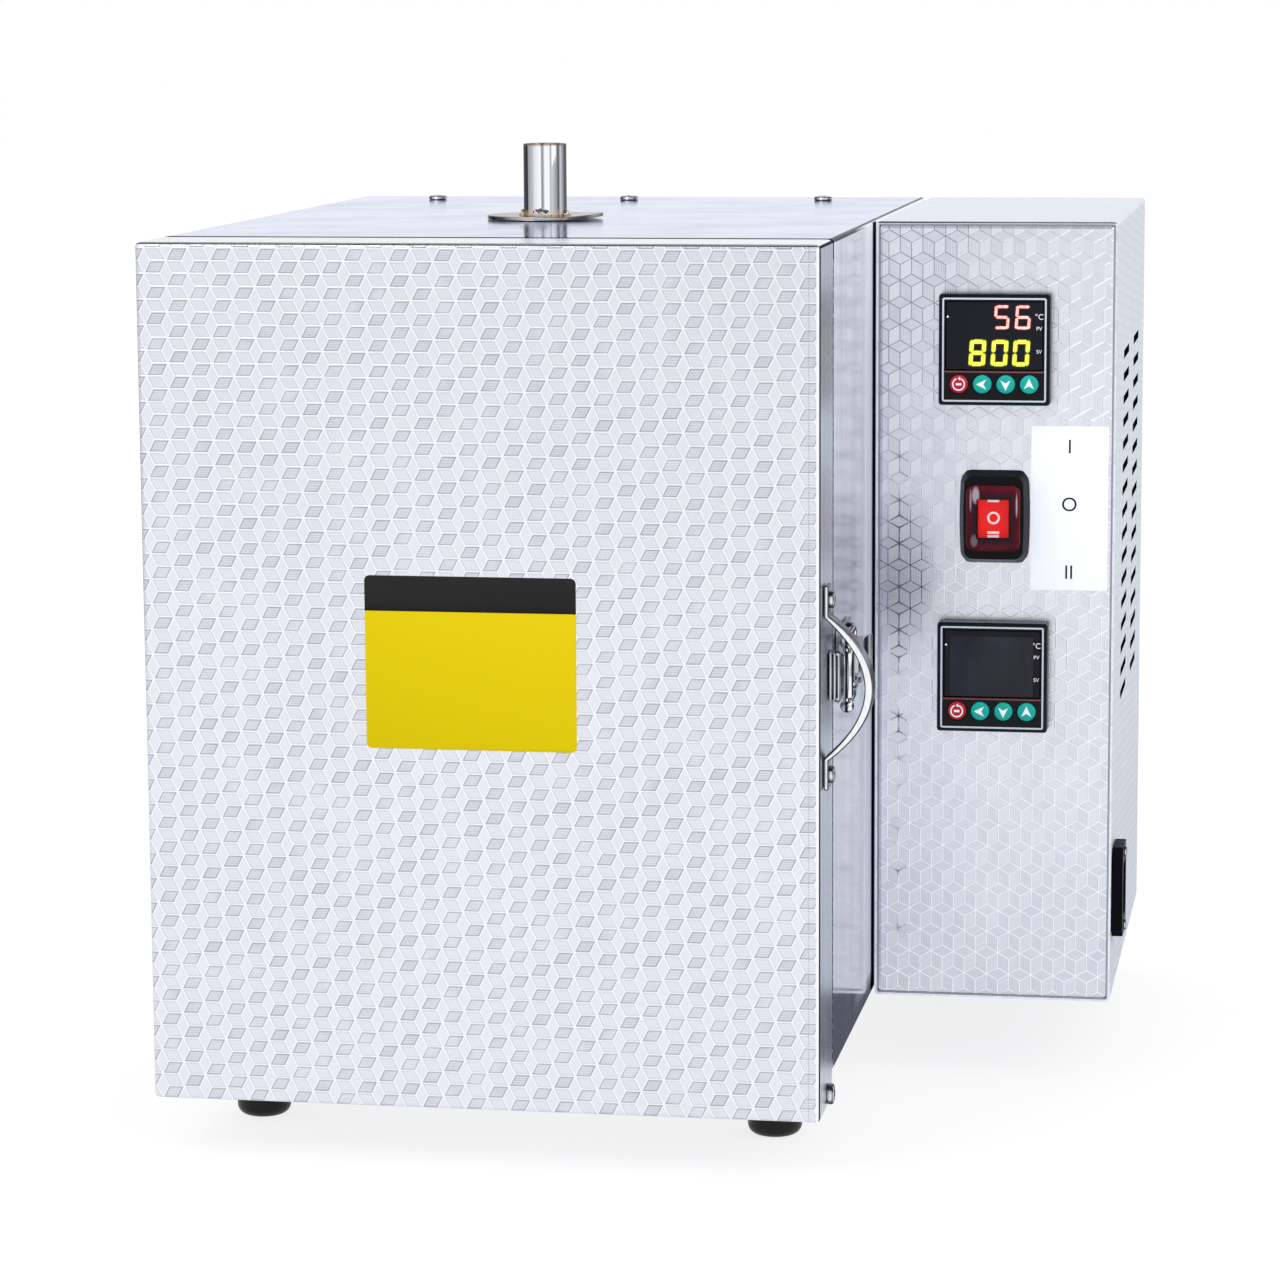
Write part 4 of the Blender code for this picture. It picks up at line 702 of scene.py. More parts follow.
@dataclass(frozen=True)
class DrawnSteel:
    """Bright bent shell: clear on top, with upright streaks on its sides, painted light that makes them paler
    towards the top and the rear, and painted shade as dark lines on the top's front edge and on the bends.

    Beside the control box its side is matt and paler, with a faint painted glow, so that the gap isn't
    mirrored.
    """

    name: str
    top: Colour
    side: Colour
    roughness: float = 0.13
    front_line: float = -155.5 * MM
    rim_shade_line: float = -156.5 * MM
    soft: float = 0.1 * MM
    matt: Pair = (-86 * MM, -40 * MM)

    def build(self) -> Material:
        """Builds the material.

        Returns:
            The material.
        """
        graph = Graph(self.name)
        _, y, z = graph.place
        normal_x, _, normal_z = graph.normal
        lying = abs(normal_z).over(FACING)
        drawn, fine = graph.noise(260.0, 4.0, (1.0, 1.0, 0.008)), graph.noise(1500.0, 2.0, (1.0, 1.0, 0.02))
        clouds, rolled = graph.noise(26.0, 3.0), graph.noise(900.0, 2.0, (0.03, 1.0, 1.0))
        # Painted light: the sides paler towards the top and towards the rear.
        high = (z + clouds * (60 * MM)).spread(270 * MM, 385 * MM)
        base = graph.mix(high.most(y.spread(-125 * MM, -55 * MM, 0.0, 0.6)), self.side, srgb(250, 252, 255))
        streaks = drawn.spread(0.4, 0.66) * 0.6 + fine.spread(0.4, 0.7) * 0.25 - high * 0.2
        side = graph.mix(streaks, base, shaded(self.side, 0.66))
        grain = rolled.spread(0.4, 0.7) * 0.6 + clouds.spread(0.45, 0.7) * 0.4
        top = graph.mix(grain, self.top, shaded(self.top, 0.88))
        # Painted shade: dark lines along the top's front edge and its rim, next to the door.
        front, rim = (y.spread(line - self.soft, line + self.soft, 1.0, 0.0)
                      for line in (self.front_line, self.rim_shade_line))
        top = graph.mix(front, top, srgb(40, 41, 46))
        colour = graph.mix(rim * z.over(370 * MM), graph.mix(lying, side, top), srgb(36, 37, 42))
        # Painted shade: a dark line on the bends between the top and the sides.
        bend = (normal_z.over(0.12) - normal_z.over(0.95)) * normal_x.over(0.1)
        colour = graph.mix(bend * 0.85, colour, srgb(78, 80, 92))
        # Painted light beside the control box: a paler matt side with a faint emission.
        near = y.spread(*self.matt) * normal_x.over(FACING) * z.spread(40 * MM, 46 * MM)
        pale = graph.mix(high, srgb(214, 218, 232), srgb(244, 247, 253))
        graph.set(base_color=graph.mix(near, colour, pale),
                  specular_tint=graph.mix(lying.most(bend), WHITE, colour),
                  metallic=1.0 - near * 0.9, specular_ior_level=0.5 - near * 0.5,
                  roughness=clouds.spread(0.3, 0.7, self.roughness * 0.8, self.roughness * 1.3),
                  emission_color=srgb(226, 230, 242), emission_strength=near * 0.16)
        return graph.bump(rolled * lying + drawn * (1.0 - lying), 0.01 * MM)


@dataclass(frozen=True)
class HeatedSteel:
    """Bright tube or flange, tinted by heat near its foot, with painted reflections as upright streaks across
    the tube.
    """

    name: str
    foot: float
    reach: float
    roughness: float = 0.1
    rim: float = 0.0
    middle: Pair = (0.0, 0.0)
    radius: float = 8.3 * MM
    reflection_tones: tuple[tuple[float, int], ...] = (
        (0.0, 70), (0.012, 40), (0.035, 44), (0.055, 150), (0.08, 168), (0.16, 186), (0.22, 226),
        (0.38, 250), (0.405, 150), (0.45, 160), (0.49, 246), (0.61, 246), (0.635, 176), (0.68, 206),
        (0.73, 180), (0.79, 160), (0.83, 116), (0.85, 66), (0.88, 164), (0.91, 210), (0.93, 172),
        (0.97, 150), (1.0, 96))

    def build(self) -> Material:
        """Builds the material.

        Returns:
            The material.
        """
        graph = Graph(self.name)
        x, y, z = graph.place
        clouds, grain = graph.noise(260.0, 3.0), graph.noise(700.0, 2.0, (1.0, 1.0, 0.06))
        near = (z + clouds * (self.reach * 0.6)).spread(self.foot, self.foot + self.reach, 1.0, 0.0)
        colour = graph.mix(grain.spread(0.35, 0.75, 0.0, 0.3), srgb(226, 226, 228), srgb(176, 176, 180))
        if self.rim:
            # Painted reflection: light and dark upright streaks across the tube.
            across = (x - self.middle[0]) * 0.982 + (y - self.middle[1]) * 0.19
            stops = [(place, srgb(tone, tone + 2, min(255, tone + 8))) for place, tone in self.reflection_tones]
            colour = graph.ramp(across.spread(-self.radius, self.radius), stops)
            graph.set(specular_tint=graph.mix(0.5, colour, WHITE))
        colour = graph.mix(near * 0.8, colour, srgb(226, 190, 122))
        colour = graph.mix(near * near * near * 0.9, colour, srgb(112, 84, 58))
        if self.rim:
            burnt = z.spread(self.rim - 1.2 * MM, self.rim - 0.2 * MM) * clouds.spread(0.35, 0.6, 0.5, 1.0)
            colour = graph.mix(burnt, colour, srgb(128, 98, 78))
        graph.set(base_color=colour, metallic=1.0,
                  roughness=clouds.spread(0.3, 0.7, self.roughness * 0.8, self.roughness * 1.8))
        return graph.bump(grain, 0.01 * MM)


@dataclass(frozen=True)
class Moulded:
    """Moulded plastic or rubber: fine spark texture, a little dust and wear, and where it is set a painted
    glow.
    """

    name: str
    colour: Colour
    roughness: float
    texture: float = 0.02 * MM
    dust: float = 0.06
    coat: float = 0.0
    shine: float = 0.5
    # Painted glow: emission on parts that are no lamp.
    glow: float = 0.0

    def build(self) -> Material:
        """Builds the material.

        Returns:
            The material.
        """
        graph = Graph(self.name)
        clouds = graph.noise(120.0, 3.0)
        colour = graph.mix(clouds.spread(0.45, 0.75, 0.0, self.dust * 4), self.colour,
                           shaded(self.colour, 0.9, 0.03))
        rough = clouds.spread(0.3, 0.7, self.roughness * 0.85, min(1.0, self.roughness * 1.2))
        # Painted glow: the colour emitted at the glow strength.
        graph.set(base_color=colour, roughness=rough, coat_weight=self.coat, specular_ior_level=self.shine,
                  emission_color=colour, emission_strength=self.glow)
        return graph.bump(graph.noise(3200.0, 2.0), self.texture)


@dataclass(frozen=True)
class FibreBoard:
    """Pressed ceramic fibre: chalky, with loose fibres and faint scorching."""

    name: str

    def build(self) -> Material:
        """Builds the material.

        Returns:
            The material.
        """
        graph = Graph(self.name)
        fibres, lumps = graph.noise(1400.0, 5.0, (1.0, 0.35, 1.0)), graph.noise(160.0, 4.0)
        burnt = graph.noise(14.0, 3.0).spread(0.5, 0.8, 0.0, 0.45)
        colour = graph.mix(burnt, srgb(238, 234, 224), srgb(196, 178, 150))
        colour = graph.mix(fibres.spread(0.5, 0.8, 0.0, 0.35), colour, srgb(206, 200, 188))
        graph.set(base_color=colour, roughness=0.95)
        return graph.bump(fibres * 0.5 + lumps, 0.4 * MM)


@dataclass(frozen=True)
class Glow:
    """Lit segment of a display, with a faint flicker."""

    name: str
    core: Colour
    rim: Colour
    strength: float

    def build(self) -> Material:
        """Builds the material.

        Returns:
            The material.
        """
        graph = Graph(self.name)
        colour = graph.mix(graph.noise(900.0, 2.0).spread(0.35, 0.7), self.core, self.rim)
        graph.set(base_color=colour, roughness=0.4, emission_color=colour, emission_strength=self.strength)
        return graph.material


@dataclass(frozen=True)
class DarkWindow:
    """Smoked display window: nearly black, glossy, with faint smears."""

    name: str
    colour: Colour

    def build(self) -> Material:
        """Builds the material.

        Returns:
            The material.
        """
        graph = Graph(self.name)
        smears = graph.noise(60.0, 4.0, (1.0, 1.0, 0.4))
        graph.set(base_color=graph.mix(smears.spread(0.45, 0.8), self.colour, shaded(self.colour, 1.5)),
                  roughness=smears.spread(0.3, 0.8, 0.08, 0.2), specular_ior_level=0.12)
        return graph.bump(smears, 0.01 * MM)


@dataclass(frozen=True)
class CoverSilicone:
    """Clear red cover: lets the rocker through, deeper red round it, with soft painted highlights and a faint
    painted glow on its border.
    """

    name: str
    front: Colour
    wall: Colour
    middle: Pair = (141.15 * MM, 250.5 * MM)
    half: Pair = (11.7 * MM, 14.25 * MM)
    highlight_spots: tuple[tuple[float, ...], ...] = (
        (-7.4, 10.2, 1.9, 4.2, 0.8), (-9.6, 8.0, 0.5, 5.6, 0.6), (10.3, 6.0, 0.45, 6.0, 0.8),
        (-8.0, -9.6, 1.8, 3.2, 0.28))

    def build(self) -> Material:
        """Builds the material.

        Returns:
            The material.
        """
        graph = Graph(self.name)
        x, _, z = graph.place
        dx, dz = x - self.middle[0], z - self.middle[1]
        reach = (abs(dx) * (1 / self.half[0])).most(abs(dz) * (1 / self.half[1]))
        clouds = graph.noise(150.0, 3.0)
        wall = graph.mix(clouds.spread(0.35, 0.7), self.wall, srgb(104, 34, 46))
        wall = graph.mix(reach.spread(0.66, 0.86), srgb(46, 34, 42), wall)
        # Painted highlights: pale soft patches on the border.
        for across, up, wide, tall, share in self.highlight_spots:
            far_x, far_z = (dx - across * MM) * (1 / (wide * MM)), (dz - up * MM) * (1 / (tall * MM))
            spot = (far_x * far_x + far_z * far_z).spread(0.25, 1.0, share, 0.0)
            wall = graph.mix(spot, wall, srgb(206, 190, 204))
        clear = reach.spread(0.59, 0.62, 1.0, 0.0)
        # Painted glow: faint emission on the border round the clear middle.
        graph.set(base_color=graph.mix(clear.spread(0.9, 1.0), wall, self.front), roughness=0.05,
                  transmission_weight=clear, ior=1.12, emission_color=wall,
                  emission_strength=(1.0 - clear) * 0.12)
        return graph.bump(clouds, 0.02 * MM)


@dataclass(frozen=True)
class LitRocker:
    """Red rocker with a lamp inside, darker at its ends."""

    name: str
    colour: Colour
    glow: float
    middle: float
    half: float

    def build(self) -> Material:
        """Builds the material.

        Returns:
            The material.
        """
        graph = Graph(self.name)
        clouds = graph.noise(220.0, 3.0)
        end = abs(graph.place[2] - self.middle).spread(self.half * 0.72, self.half, 0.0, 0.55)
        colour = graph.mix(end + clouds.spread(0.5, 0.8, 0.0, 0.2), self.colour, shaded(self.colour, 0.45))
        graph.set(base_color=colour, roughness=0.3, emission_color=colour, emission_strength=self.glow,
                  specular_ior_level=0.2)
        return graph.bump(clouds, 0.01 * MM)


@dataclass(frozen=True)
class RopeWeave:
    """Braided fibre rope: pale crossing strands with painted shade in the gaps between them."""

    name: str
    pale: Colour
    gap: Colour
    pitch: float = 1.5 * MM

    def build(self) -> Material:
        """Builds the material.

        Returns:
            The material.
        """
        graph = Graph(self.name)
        x, y, z = graph.place
        first, second = ((x + side + y * 0.8).lines(self.pitch, -1.0, 1.0) for side in (z, z * -1.0))
        strand = first.most(second)
        # Painted shade: the gaps between the strands darker.
        colour = graph.mix(strand.spread(0.35, 0.8), self.gap, self.pale)
        burnt = graph.noise(25.0, 3.0).spread(0.5, 0.75, 0.0, 0.5)
        graph.set(base_color=graph.mix(burnt, colour, srgb(176, 156, 126)), roughness=0.95)
        return graph.bump(strand + graph.noise(2400.0, 4.0) * 0.35, 0.35 * MM)


# Modelling moves


class Bench:
    """Modelling moves that the sub-assemblies share, done as by hand."""

    @staticmethod
    def take(piece: Piece) -> Piece:
        """Makes a piece the only selected and active one.

        Args:
            piece: the piece.

        Returns:
            The piece.
        """
        bpy.ops.object.select_all(action="DESELECT")
        piece.select_set(True)
        bpy.context.view_layer.objects.active = piece
        return piece

    @classmethod
    def keep(cls, name: str) -> Piece:
        """Names the new active object and applies its place.

        Args:
            name: name of the piece.

        Returns:
            The piece, at the origin.
        """
        piece = cls.take(bpy.context.object)
        piece.name = piece.data.name = name
        bpy.ops.object.transform_apply(location=True, rotation=True, scale=True)
        return piece

    @classmethod
    def block(cls, name: str, low: Triple, high: Triple) -> Piece:
        """Block between two corners.

        Args:
            name: name of the piece.
            low: lowest corner.
            high: highest corner.

        Returns:
            The block.
        """
        bpy.ops.mesh.primitive_cube_add(size=1.0, location=(Vector(low) + Vector(high)) / 2)
        bpy.context.object.scale = Vector(high) - Vector(low)
        return cls.keep(name)

    @classmethod
    def rod(cls, name: str, middle: Triple, radius: float, length: float, sides: int,
            turn: float = 0.0) -> Piece:
        """Round bar, upright or turned about X.

        Args:
            name: name of the piece.
            middle: its centre.
            radius: its radius.
            length: its length.
            sides: faces round it.
            turn: its turn about X, in radians.

        Returns:
            The bar.
        """
        bpy.ops.mesh.primitive_cylinder_add(vertices=sides, radius=radius, depth=length, location=middle,
                                            rotation=(turn, 0, 0), end_fill_type="NGON")
        return cls.keep(name)

    @classmethod
    def chain(cls, name: str, points: list[Triple]) -> Piece:
        """Open chain of edges, drawn by extruding one point along a route.

        Args:
            name: name of the piece.
            points: the route.

        Returns:
            The chain.
        """
        bpy.ops.mesh.primitive_plane_add(size=0.001, location=points[0])
        cls.edit(bpy.context.object)
        bpy.ops.mesh.merge(type="CENTER")
        bpy.ops.mesh.select_all(action="SELECT")
        cls.extrude(points)
        cls.done()
        return cls.keep(name)

    @staticmethod
    def extrude(route: list[Triple]) -> None:
        """Extrudes the selection from each point of a route to the next.

        Args:
            route: the points.
        """
        for before, after in zip(route, route[1:]):
            move = tuple(Vector(after) - Vector(before))
            bpy.ops.mesh.extrude_region_move(TRANSFORM_OT_translate={"value": move})

    @classmethod
    def slab(cls, name: str, points: list[Triple], move: Triple) -> Piece:
        """Solid drawn out from a flat outline.

        Args:
            name: name of the piece.
            points: corners of the outline.
            move: how far it is drawn out, and which way.

        Returns:
            The solid.
        """
        piece = cls.chain(name, points)
        cls.edit(piece)
        bpy.ops.mesh.edge_face_add()
        cls.extrude([(0.0, 0.0, 0.0), move])
        cls.done()
        return cls.outward(piece)

    @classmethod
    def turned(cls, name: str, middle: Triple, profile: list[Pair], steps: int, axis: Vector = UP) -> Piece:
        """Round piece spun from a half outline, as on a lathe.

        Args:
            name: name of the piece.
            middle: point of the axis that heights are counted from.
            profile: distances from the axis, and heights along it.
            steps: faces round it.
            axis: direction of its axis, upright or to the rear.

        Returns:
            The turned piece.
        """
        piece = cls.chain(name, [tuple(Vector(middle) + RIGHT * reach + axis * height)
                                 for reach, height in profile])
        cls.edit(piece)
        bpy.ops.mesh.spin(steps=steps, angle=2 * math.pi, center=middle, axis=tuple(axis))
        cls.done()
        return cls.smooth(cls.outward(piece), 40.0)

    @classmethod
    def knob(cls, name: str, middle: Triple, size: Pair, steps: int, axis: Vector = UP) -> Piece:
        """Ball, or nearly one.

        Args:
            name: name of the piece.
            middle: its centre.
            size: its radius, and its reach along the axis.
            steps: faces round it.
            axis: direction of its axis.

        Returns:
            The knob.
        """
        radius, reach = size
        bends = [on_circle(1.0, turn) for turn in range(-75, 76, 15)]
        bow = [(out * radius, up * reach) for out, up in bends]
        return cls.turned(name, middle, [(0.0, -reach), *bow, (0.0, reach)], steps, axis)

    @classmethod
    def converted(cls, name: str, data: bpy.types.ID) -> Piece:
        """Mesh made from a curve or a text.

        Args:
            name: name of the piece.
            data: the curve or text.

        Returns:
            The piece.
        """
        piece = bpy.data.objects.new(name, data)
        bpy.context.scene.collection.objects.link(piece)
        cls.take(piece)
        bpy.ops.object.convert(target="MESH")
        return cls.keep(name)

    @classmethod
    def wire(cls, name: str, points: list[Triple], radius: float, closed: bool = False,
             sides: int = 5) -> Piece:
        """Round wire along a route.

        Args:
            name: name of the piece.
            points: the route.
            radius: the wire's radius.
            closed: whether it is a ring.
            sides: roundness of its section.

        Returns:
            The wire, as a mesh.
        """
        data = bpy.data.curves.new(name, "CURVE")
        data.dimensions, data.bevel_depth, data.bevel_resolution = "3D", radius, sides
        data.use_fill_caps = not closed
        spline = data.splines.new("POLY")
        spline.points.add(len(points) - 1)
        for point, place in zip(spline.points, points):
            point.co = (*place, 1.0)
        spline.use_cyclic_u = closed
        return cls.smooth(cls.outward(cls.converted(name, data)), 60.0)

    @classmethod
    def letters(cls, name: str, text: str, height: float, middle: Triple) -> Piece:
        """Raised print that faces the front.

        Args:
            name: name of the piece.
            text: the marks.
            height: size of the type.
            middle: middle of the marks, on the surface.

        Returns:
            The marks, as a mesh.
        """
        data = bpy.data.curves.new(name, "FONT")
        data.body, data.size, data.extrude = text, height, 0.04 * MM
        data.align_x, data.align_y = "CENTER", "CENTER"
        piece = cls.converted(name, data)
        piece.data.transform(Matrix.Translation(middle) @ Matrix.Rotation(math.pi / 2, 4, "X"))
        return piece

    @classmethod
    def corners(cls, piece: Piece, radius: float, steps: int) -> Piece:
        """Rounds the corners of a plate that faces the front.

        Args:
            piece: the plate.
            radius: radius of the corners.
            steps: faces across each.

        Returns:
            The plate.
        """
        cls.edit(piece, edges=lambda at, way: abs(way.y) > 0.9)
        bpy.ops.mesh.bevel(offset=radius, segments=steps, affect="EDGES")
        cls.done()
        return piece

    @classmethod
    def card(cls, name: str, low: Triple, high: Triple, corner: float, edge: float) -> Piece:
        """Flat plate that faces the front, with rounded corners and eased edges.

        Args:
            name: name of the piece.
            low: lowest corner.
            high: highest corner.
            corner: radius of its corners.
            edge: rounding of its front edges.

        Returns:
            The plate.
        """
        return cls.ease(cls.corners(cls.block(name, low, high), corner, 8), edge, 2, 50.0)

    @classmethod
    def hollow(cls, piece: Piece, wall: float, axis: Vector = REAR, steps: int = 1) -> Piece:
        """Opens a piece along an axis and leaves a wall round the hole.

        Args:
            piece: the piece.
            wall: thickness of the wall at each step.
            axis: direction of the hole.
            steps: rings of faces in the wall's ends.

        Returns:
            The piece.
        """
        cls.edit(piece, faces=lambda at, normal: abs(normal.dot(axis)) > 0.9)
        for _ in range(steps):
            bpy.ops.mesh.inset(thickness=wall, depth=0.0)
        bpy.ops.mesh.bridge_edge_loops()
        cls.done()
        return cls.outward(piece)

    @classmethod
    def cutout(cls, name: str, outline: list[Pair], middle: Triple) -> Piece:
        """Thin flat mark that faces the front, cut to an outline.

        Args:
            name: name of the piece.
            outline: X and Z of its corners from the middle.
            middle: its place on the surface.

        Returns:
            The mark.
        """
        places = [(middle[0] + x, middle[1], middle[2] + z) for x, z in outline]
        return cls.slab(name, places, (0.0, -0.1 * MM, 0.0))

    @staticmethod
    def seat(node: str, start: Triple, way: Vector) -> Vector:
        """Point where a ray first meets a node."""
        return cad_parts[node].ray_cast(Vector(start), way)[1]

    @staticmethod
    def lay(piece: Piece, node: str) -> Piece:
        """Presses a thin piece from the front onto a node's curved face.

        Args:
            piece: the piece, drawn flat.
            node: name of the node under it.

        Returns:
            The piece.
        """
        back = max(vert.co.y for vert in piece.data.vertices)
        for vert in piece.data.vertices:
            hit, place, _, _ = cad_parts[node].ray_cast(Vector((vert.co.x, -1.0, vert.co.z)), REAR)
            if hit:
                vert.co.y = place.y + (0.03 * MM if vert.co.y > back - 0.001 * MM else -0.08 * MM)
        return piece

    @classmethod
    def edit(cls, piece: Piece, faces: Test | None = None, edges: Test | None = None) -> None:
        """Opens a piece in edit mode with some faces or edges selected, or all of it.

        Args:
            piece: the piece.
            faces: test of a face's middle and normal.
            edges: test of an edge's middle and direction.
        """
        if bpy.context.mode != "EDIT_MESH":
            cls.take(piece)
            bpy.ops.object.mode_set(mode="EDIT")
        bpy.ops.mesh.select_mode(type="FACE" if faces else "EDGE" if edges else "VERT")
        bpy.ops.mesh.select_all(action="DESELECT" if faces or edges else "SELECT")
        mesh = bmesh.from_edit_mesh(piece.data)
        for face in mesh.faces if faces else ():
            face.select_set(faces(face.calc_center_median(), face.normal))
        for edge in mesh.edges if edges else ():
            first, last = (vert.co for vert in edge.verts)
            edge.select_set(edges((first + last) / 2, (last - first).normalized()))
        bmesh.update_edit_mesh(piece.data)

    @staticmethod
    def done() -> None:
        """Leaves edit mode."""
        bpy.ops.object.mode_set(mode="OBJECT")

    @classmethod
    def modify(cls, piece: Piece, kind: str, **settings: object) -> Piece:
        """Applies one modifier.

        Args:
            piece: the piece.
            kind: Blender's name of the modifier.
            settings: its settings.

        Returns:
            The piece.
        """
        cls.take(piece)
        made = piece.modifiers.new("shape", kind)
        for key, value in settings.items():
            setattr(made, key, value)
        bpy.ops.object.modifier_apply(modifier=made.name)
        return piece

    @classmethod
    def ease(cls, piece: Piece, width: float, steps: int, angle: float) -> Piece:
        """Rounds the sharp edges with an applied Bevel.

        Args:
            piece: the piece.
            width: width of the rounding.
            steps: faces across it.
            angle: edges sharper than this are rounded, in degrees.

        Returns:
            The piece.
        """
        cls.modify(piece, "BEVEL", width=width, segments=steps, limit_method="ANGLE",
                   angle_limit=math.radians(angle))
        return cls.smooth(piece, 35.0)

    @classmethod
    def smooth(cls, piece: Piece, angle: float) -> Piece:
        """Shades a piece smooth where its faces meet at less than an angle.

        Args:
            piece: the piece.
            angle: that angle, in degrees.

        Returns:
            The piece.
        """
        cls.take(piece)
        bpy.ops.object.shade_smooth_by_angle(angle=math.radians(angle))
        return piece

    @classmethod
    def outward(cls, piece: Piece) -> Piece:
        """Merges doubled points and turns every face outwards.

        Args:
            piece: the piece.

        Returns:
            The piece.
        """
        cls.edit(piece)
        bpy.ops.mesh.remove_doubles(threshold=0.000001)
        bpy.ops.mesh.normals_make_consistent(inside=False)
        cls.done()
        return piece

    @classmethod
    def join(cls, name: str, pieces: list[Piece]) -> Piece:
        """Joins pieces into one object.

        Args:
            name: name of the joined piece.
            pieces: what it is made of.

        Returns:
            The joined piece.
        """
        cls.take(pieces[0])
        for piece in pieces:
            piece.select_set(True)
        bpy.ops.object.join()
        return cls.keep(name)

    @staticmethod
    def dress(piece: Piece, finish: Material, body: str, slot: str, *stands_for: str) -> Piece:
        """Gives a finished piece its material and body.

        Args:
            piece: the piece.
            finish: its material.
            body: body that it rides on.
            slot: the record's slot of its finish; not used.
            stands_for: nodes that it replaces.

        Returns:
            The piece.
        """
        piece.data.materials.clear()
        piece.data.materials.append(finish)
        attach(piece, body)
        if stands_for:
            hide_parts(*stands_for)
        LOG.info("%s rides on %s, %d faces", piece.name, body, len(piece.data.polygons))
        return piece

    @staticmethod
    def coat(finish: Material, edge: float, *nodes: str) -> None:
        """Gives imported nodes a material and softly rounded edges.

        Args:
            finish: their material.
            edge: width of the rounding, or 0 for none.
            nodes: names of the nodes.
        """
        for name in nodes:
            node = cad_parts[name]
            node.data.materials.clear()
            node.data.materials.append(finish)
            node.modifiers.new("seams", "WELD").merge_threshold = 0.000002
            if edge:
                bevel = node.modifiers.new("edges", "BEVEL")
                bevel.width, bevel.segments, bevel.harden_normals = edge, 2, True
                bevel.limit_method, bevel.angle_limit = "ANGLE", math.radians(40)
            LOG.info("%s coated with %s", name, finish.name)


# Studio


@dataclass(frozen=True)
class Card:
    """Card that only reflections show, shaded from one side to the other."""

    name: str
    place: Triple
    size: Pair
    first: Colour
    last: Colour
    turn: float = 0.0
    tilt: float = math.pi / 2

    def build(self) -> None:
        """Builds the card, out of the camera's sight."""
        bpy.ops.mesh.primitive_plane_add(size=1.0, location=self.place, rotation=(self.tilt, 0.0, self.turn))
        card = bpy.context.object
        card.name, card.scale = self.name, (*self.size, 1.0)
        material = bpy.data.materials.new(self.name)
        nodes = Nodes(material)
        colour = nodes.mix(nodes.split("Object")[0].spread(-0.5, 0.5), self.first, self.last)
        nodes.plug(nodes.output.inputs[0], nodes.shader("ShaderNodeEmission", colour))
        card.data.materials.append(material)
        card.visible_camera = card.visible_diffuse = card.visible_shadow = False
        card.visible_transmission = False


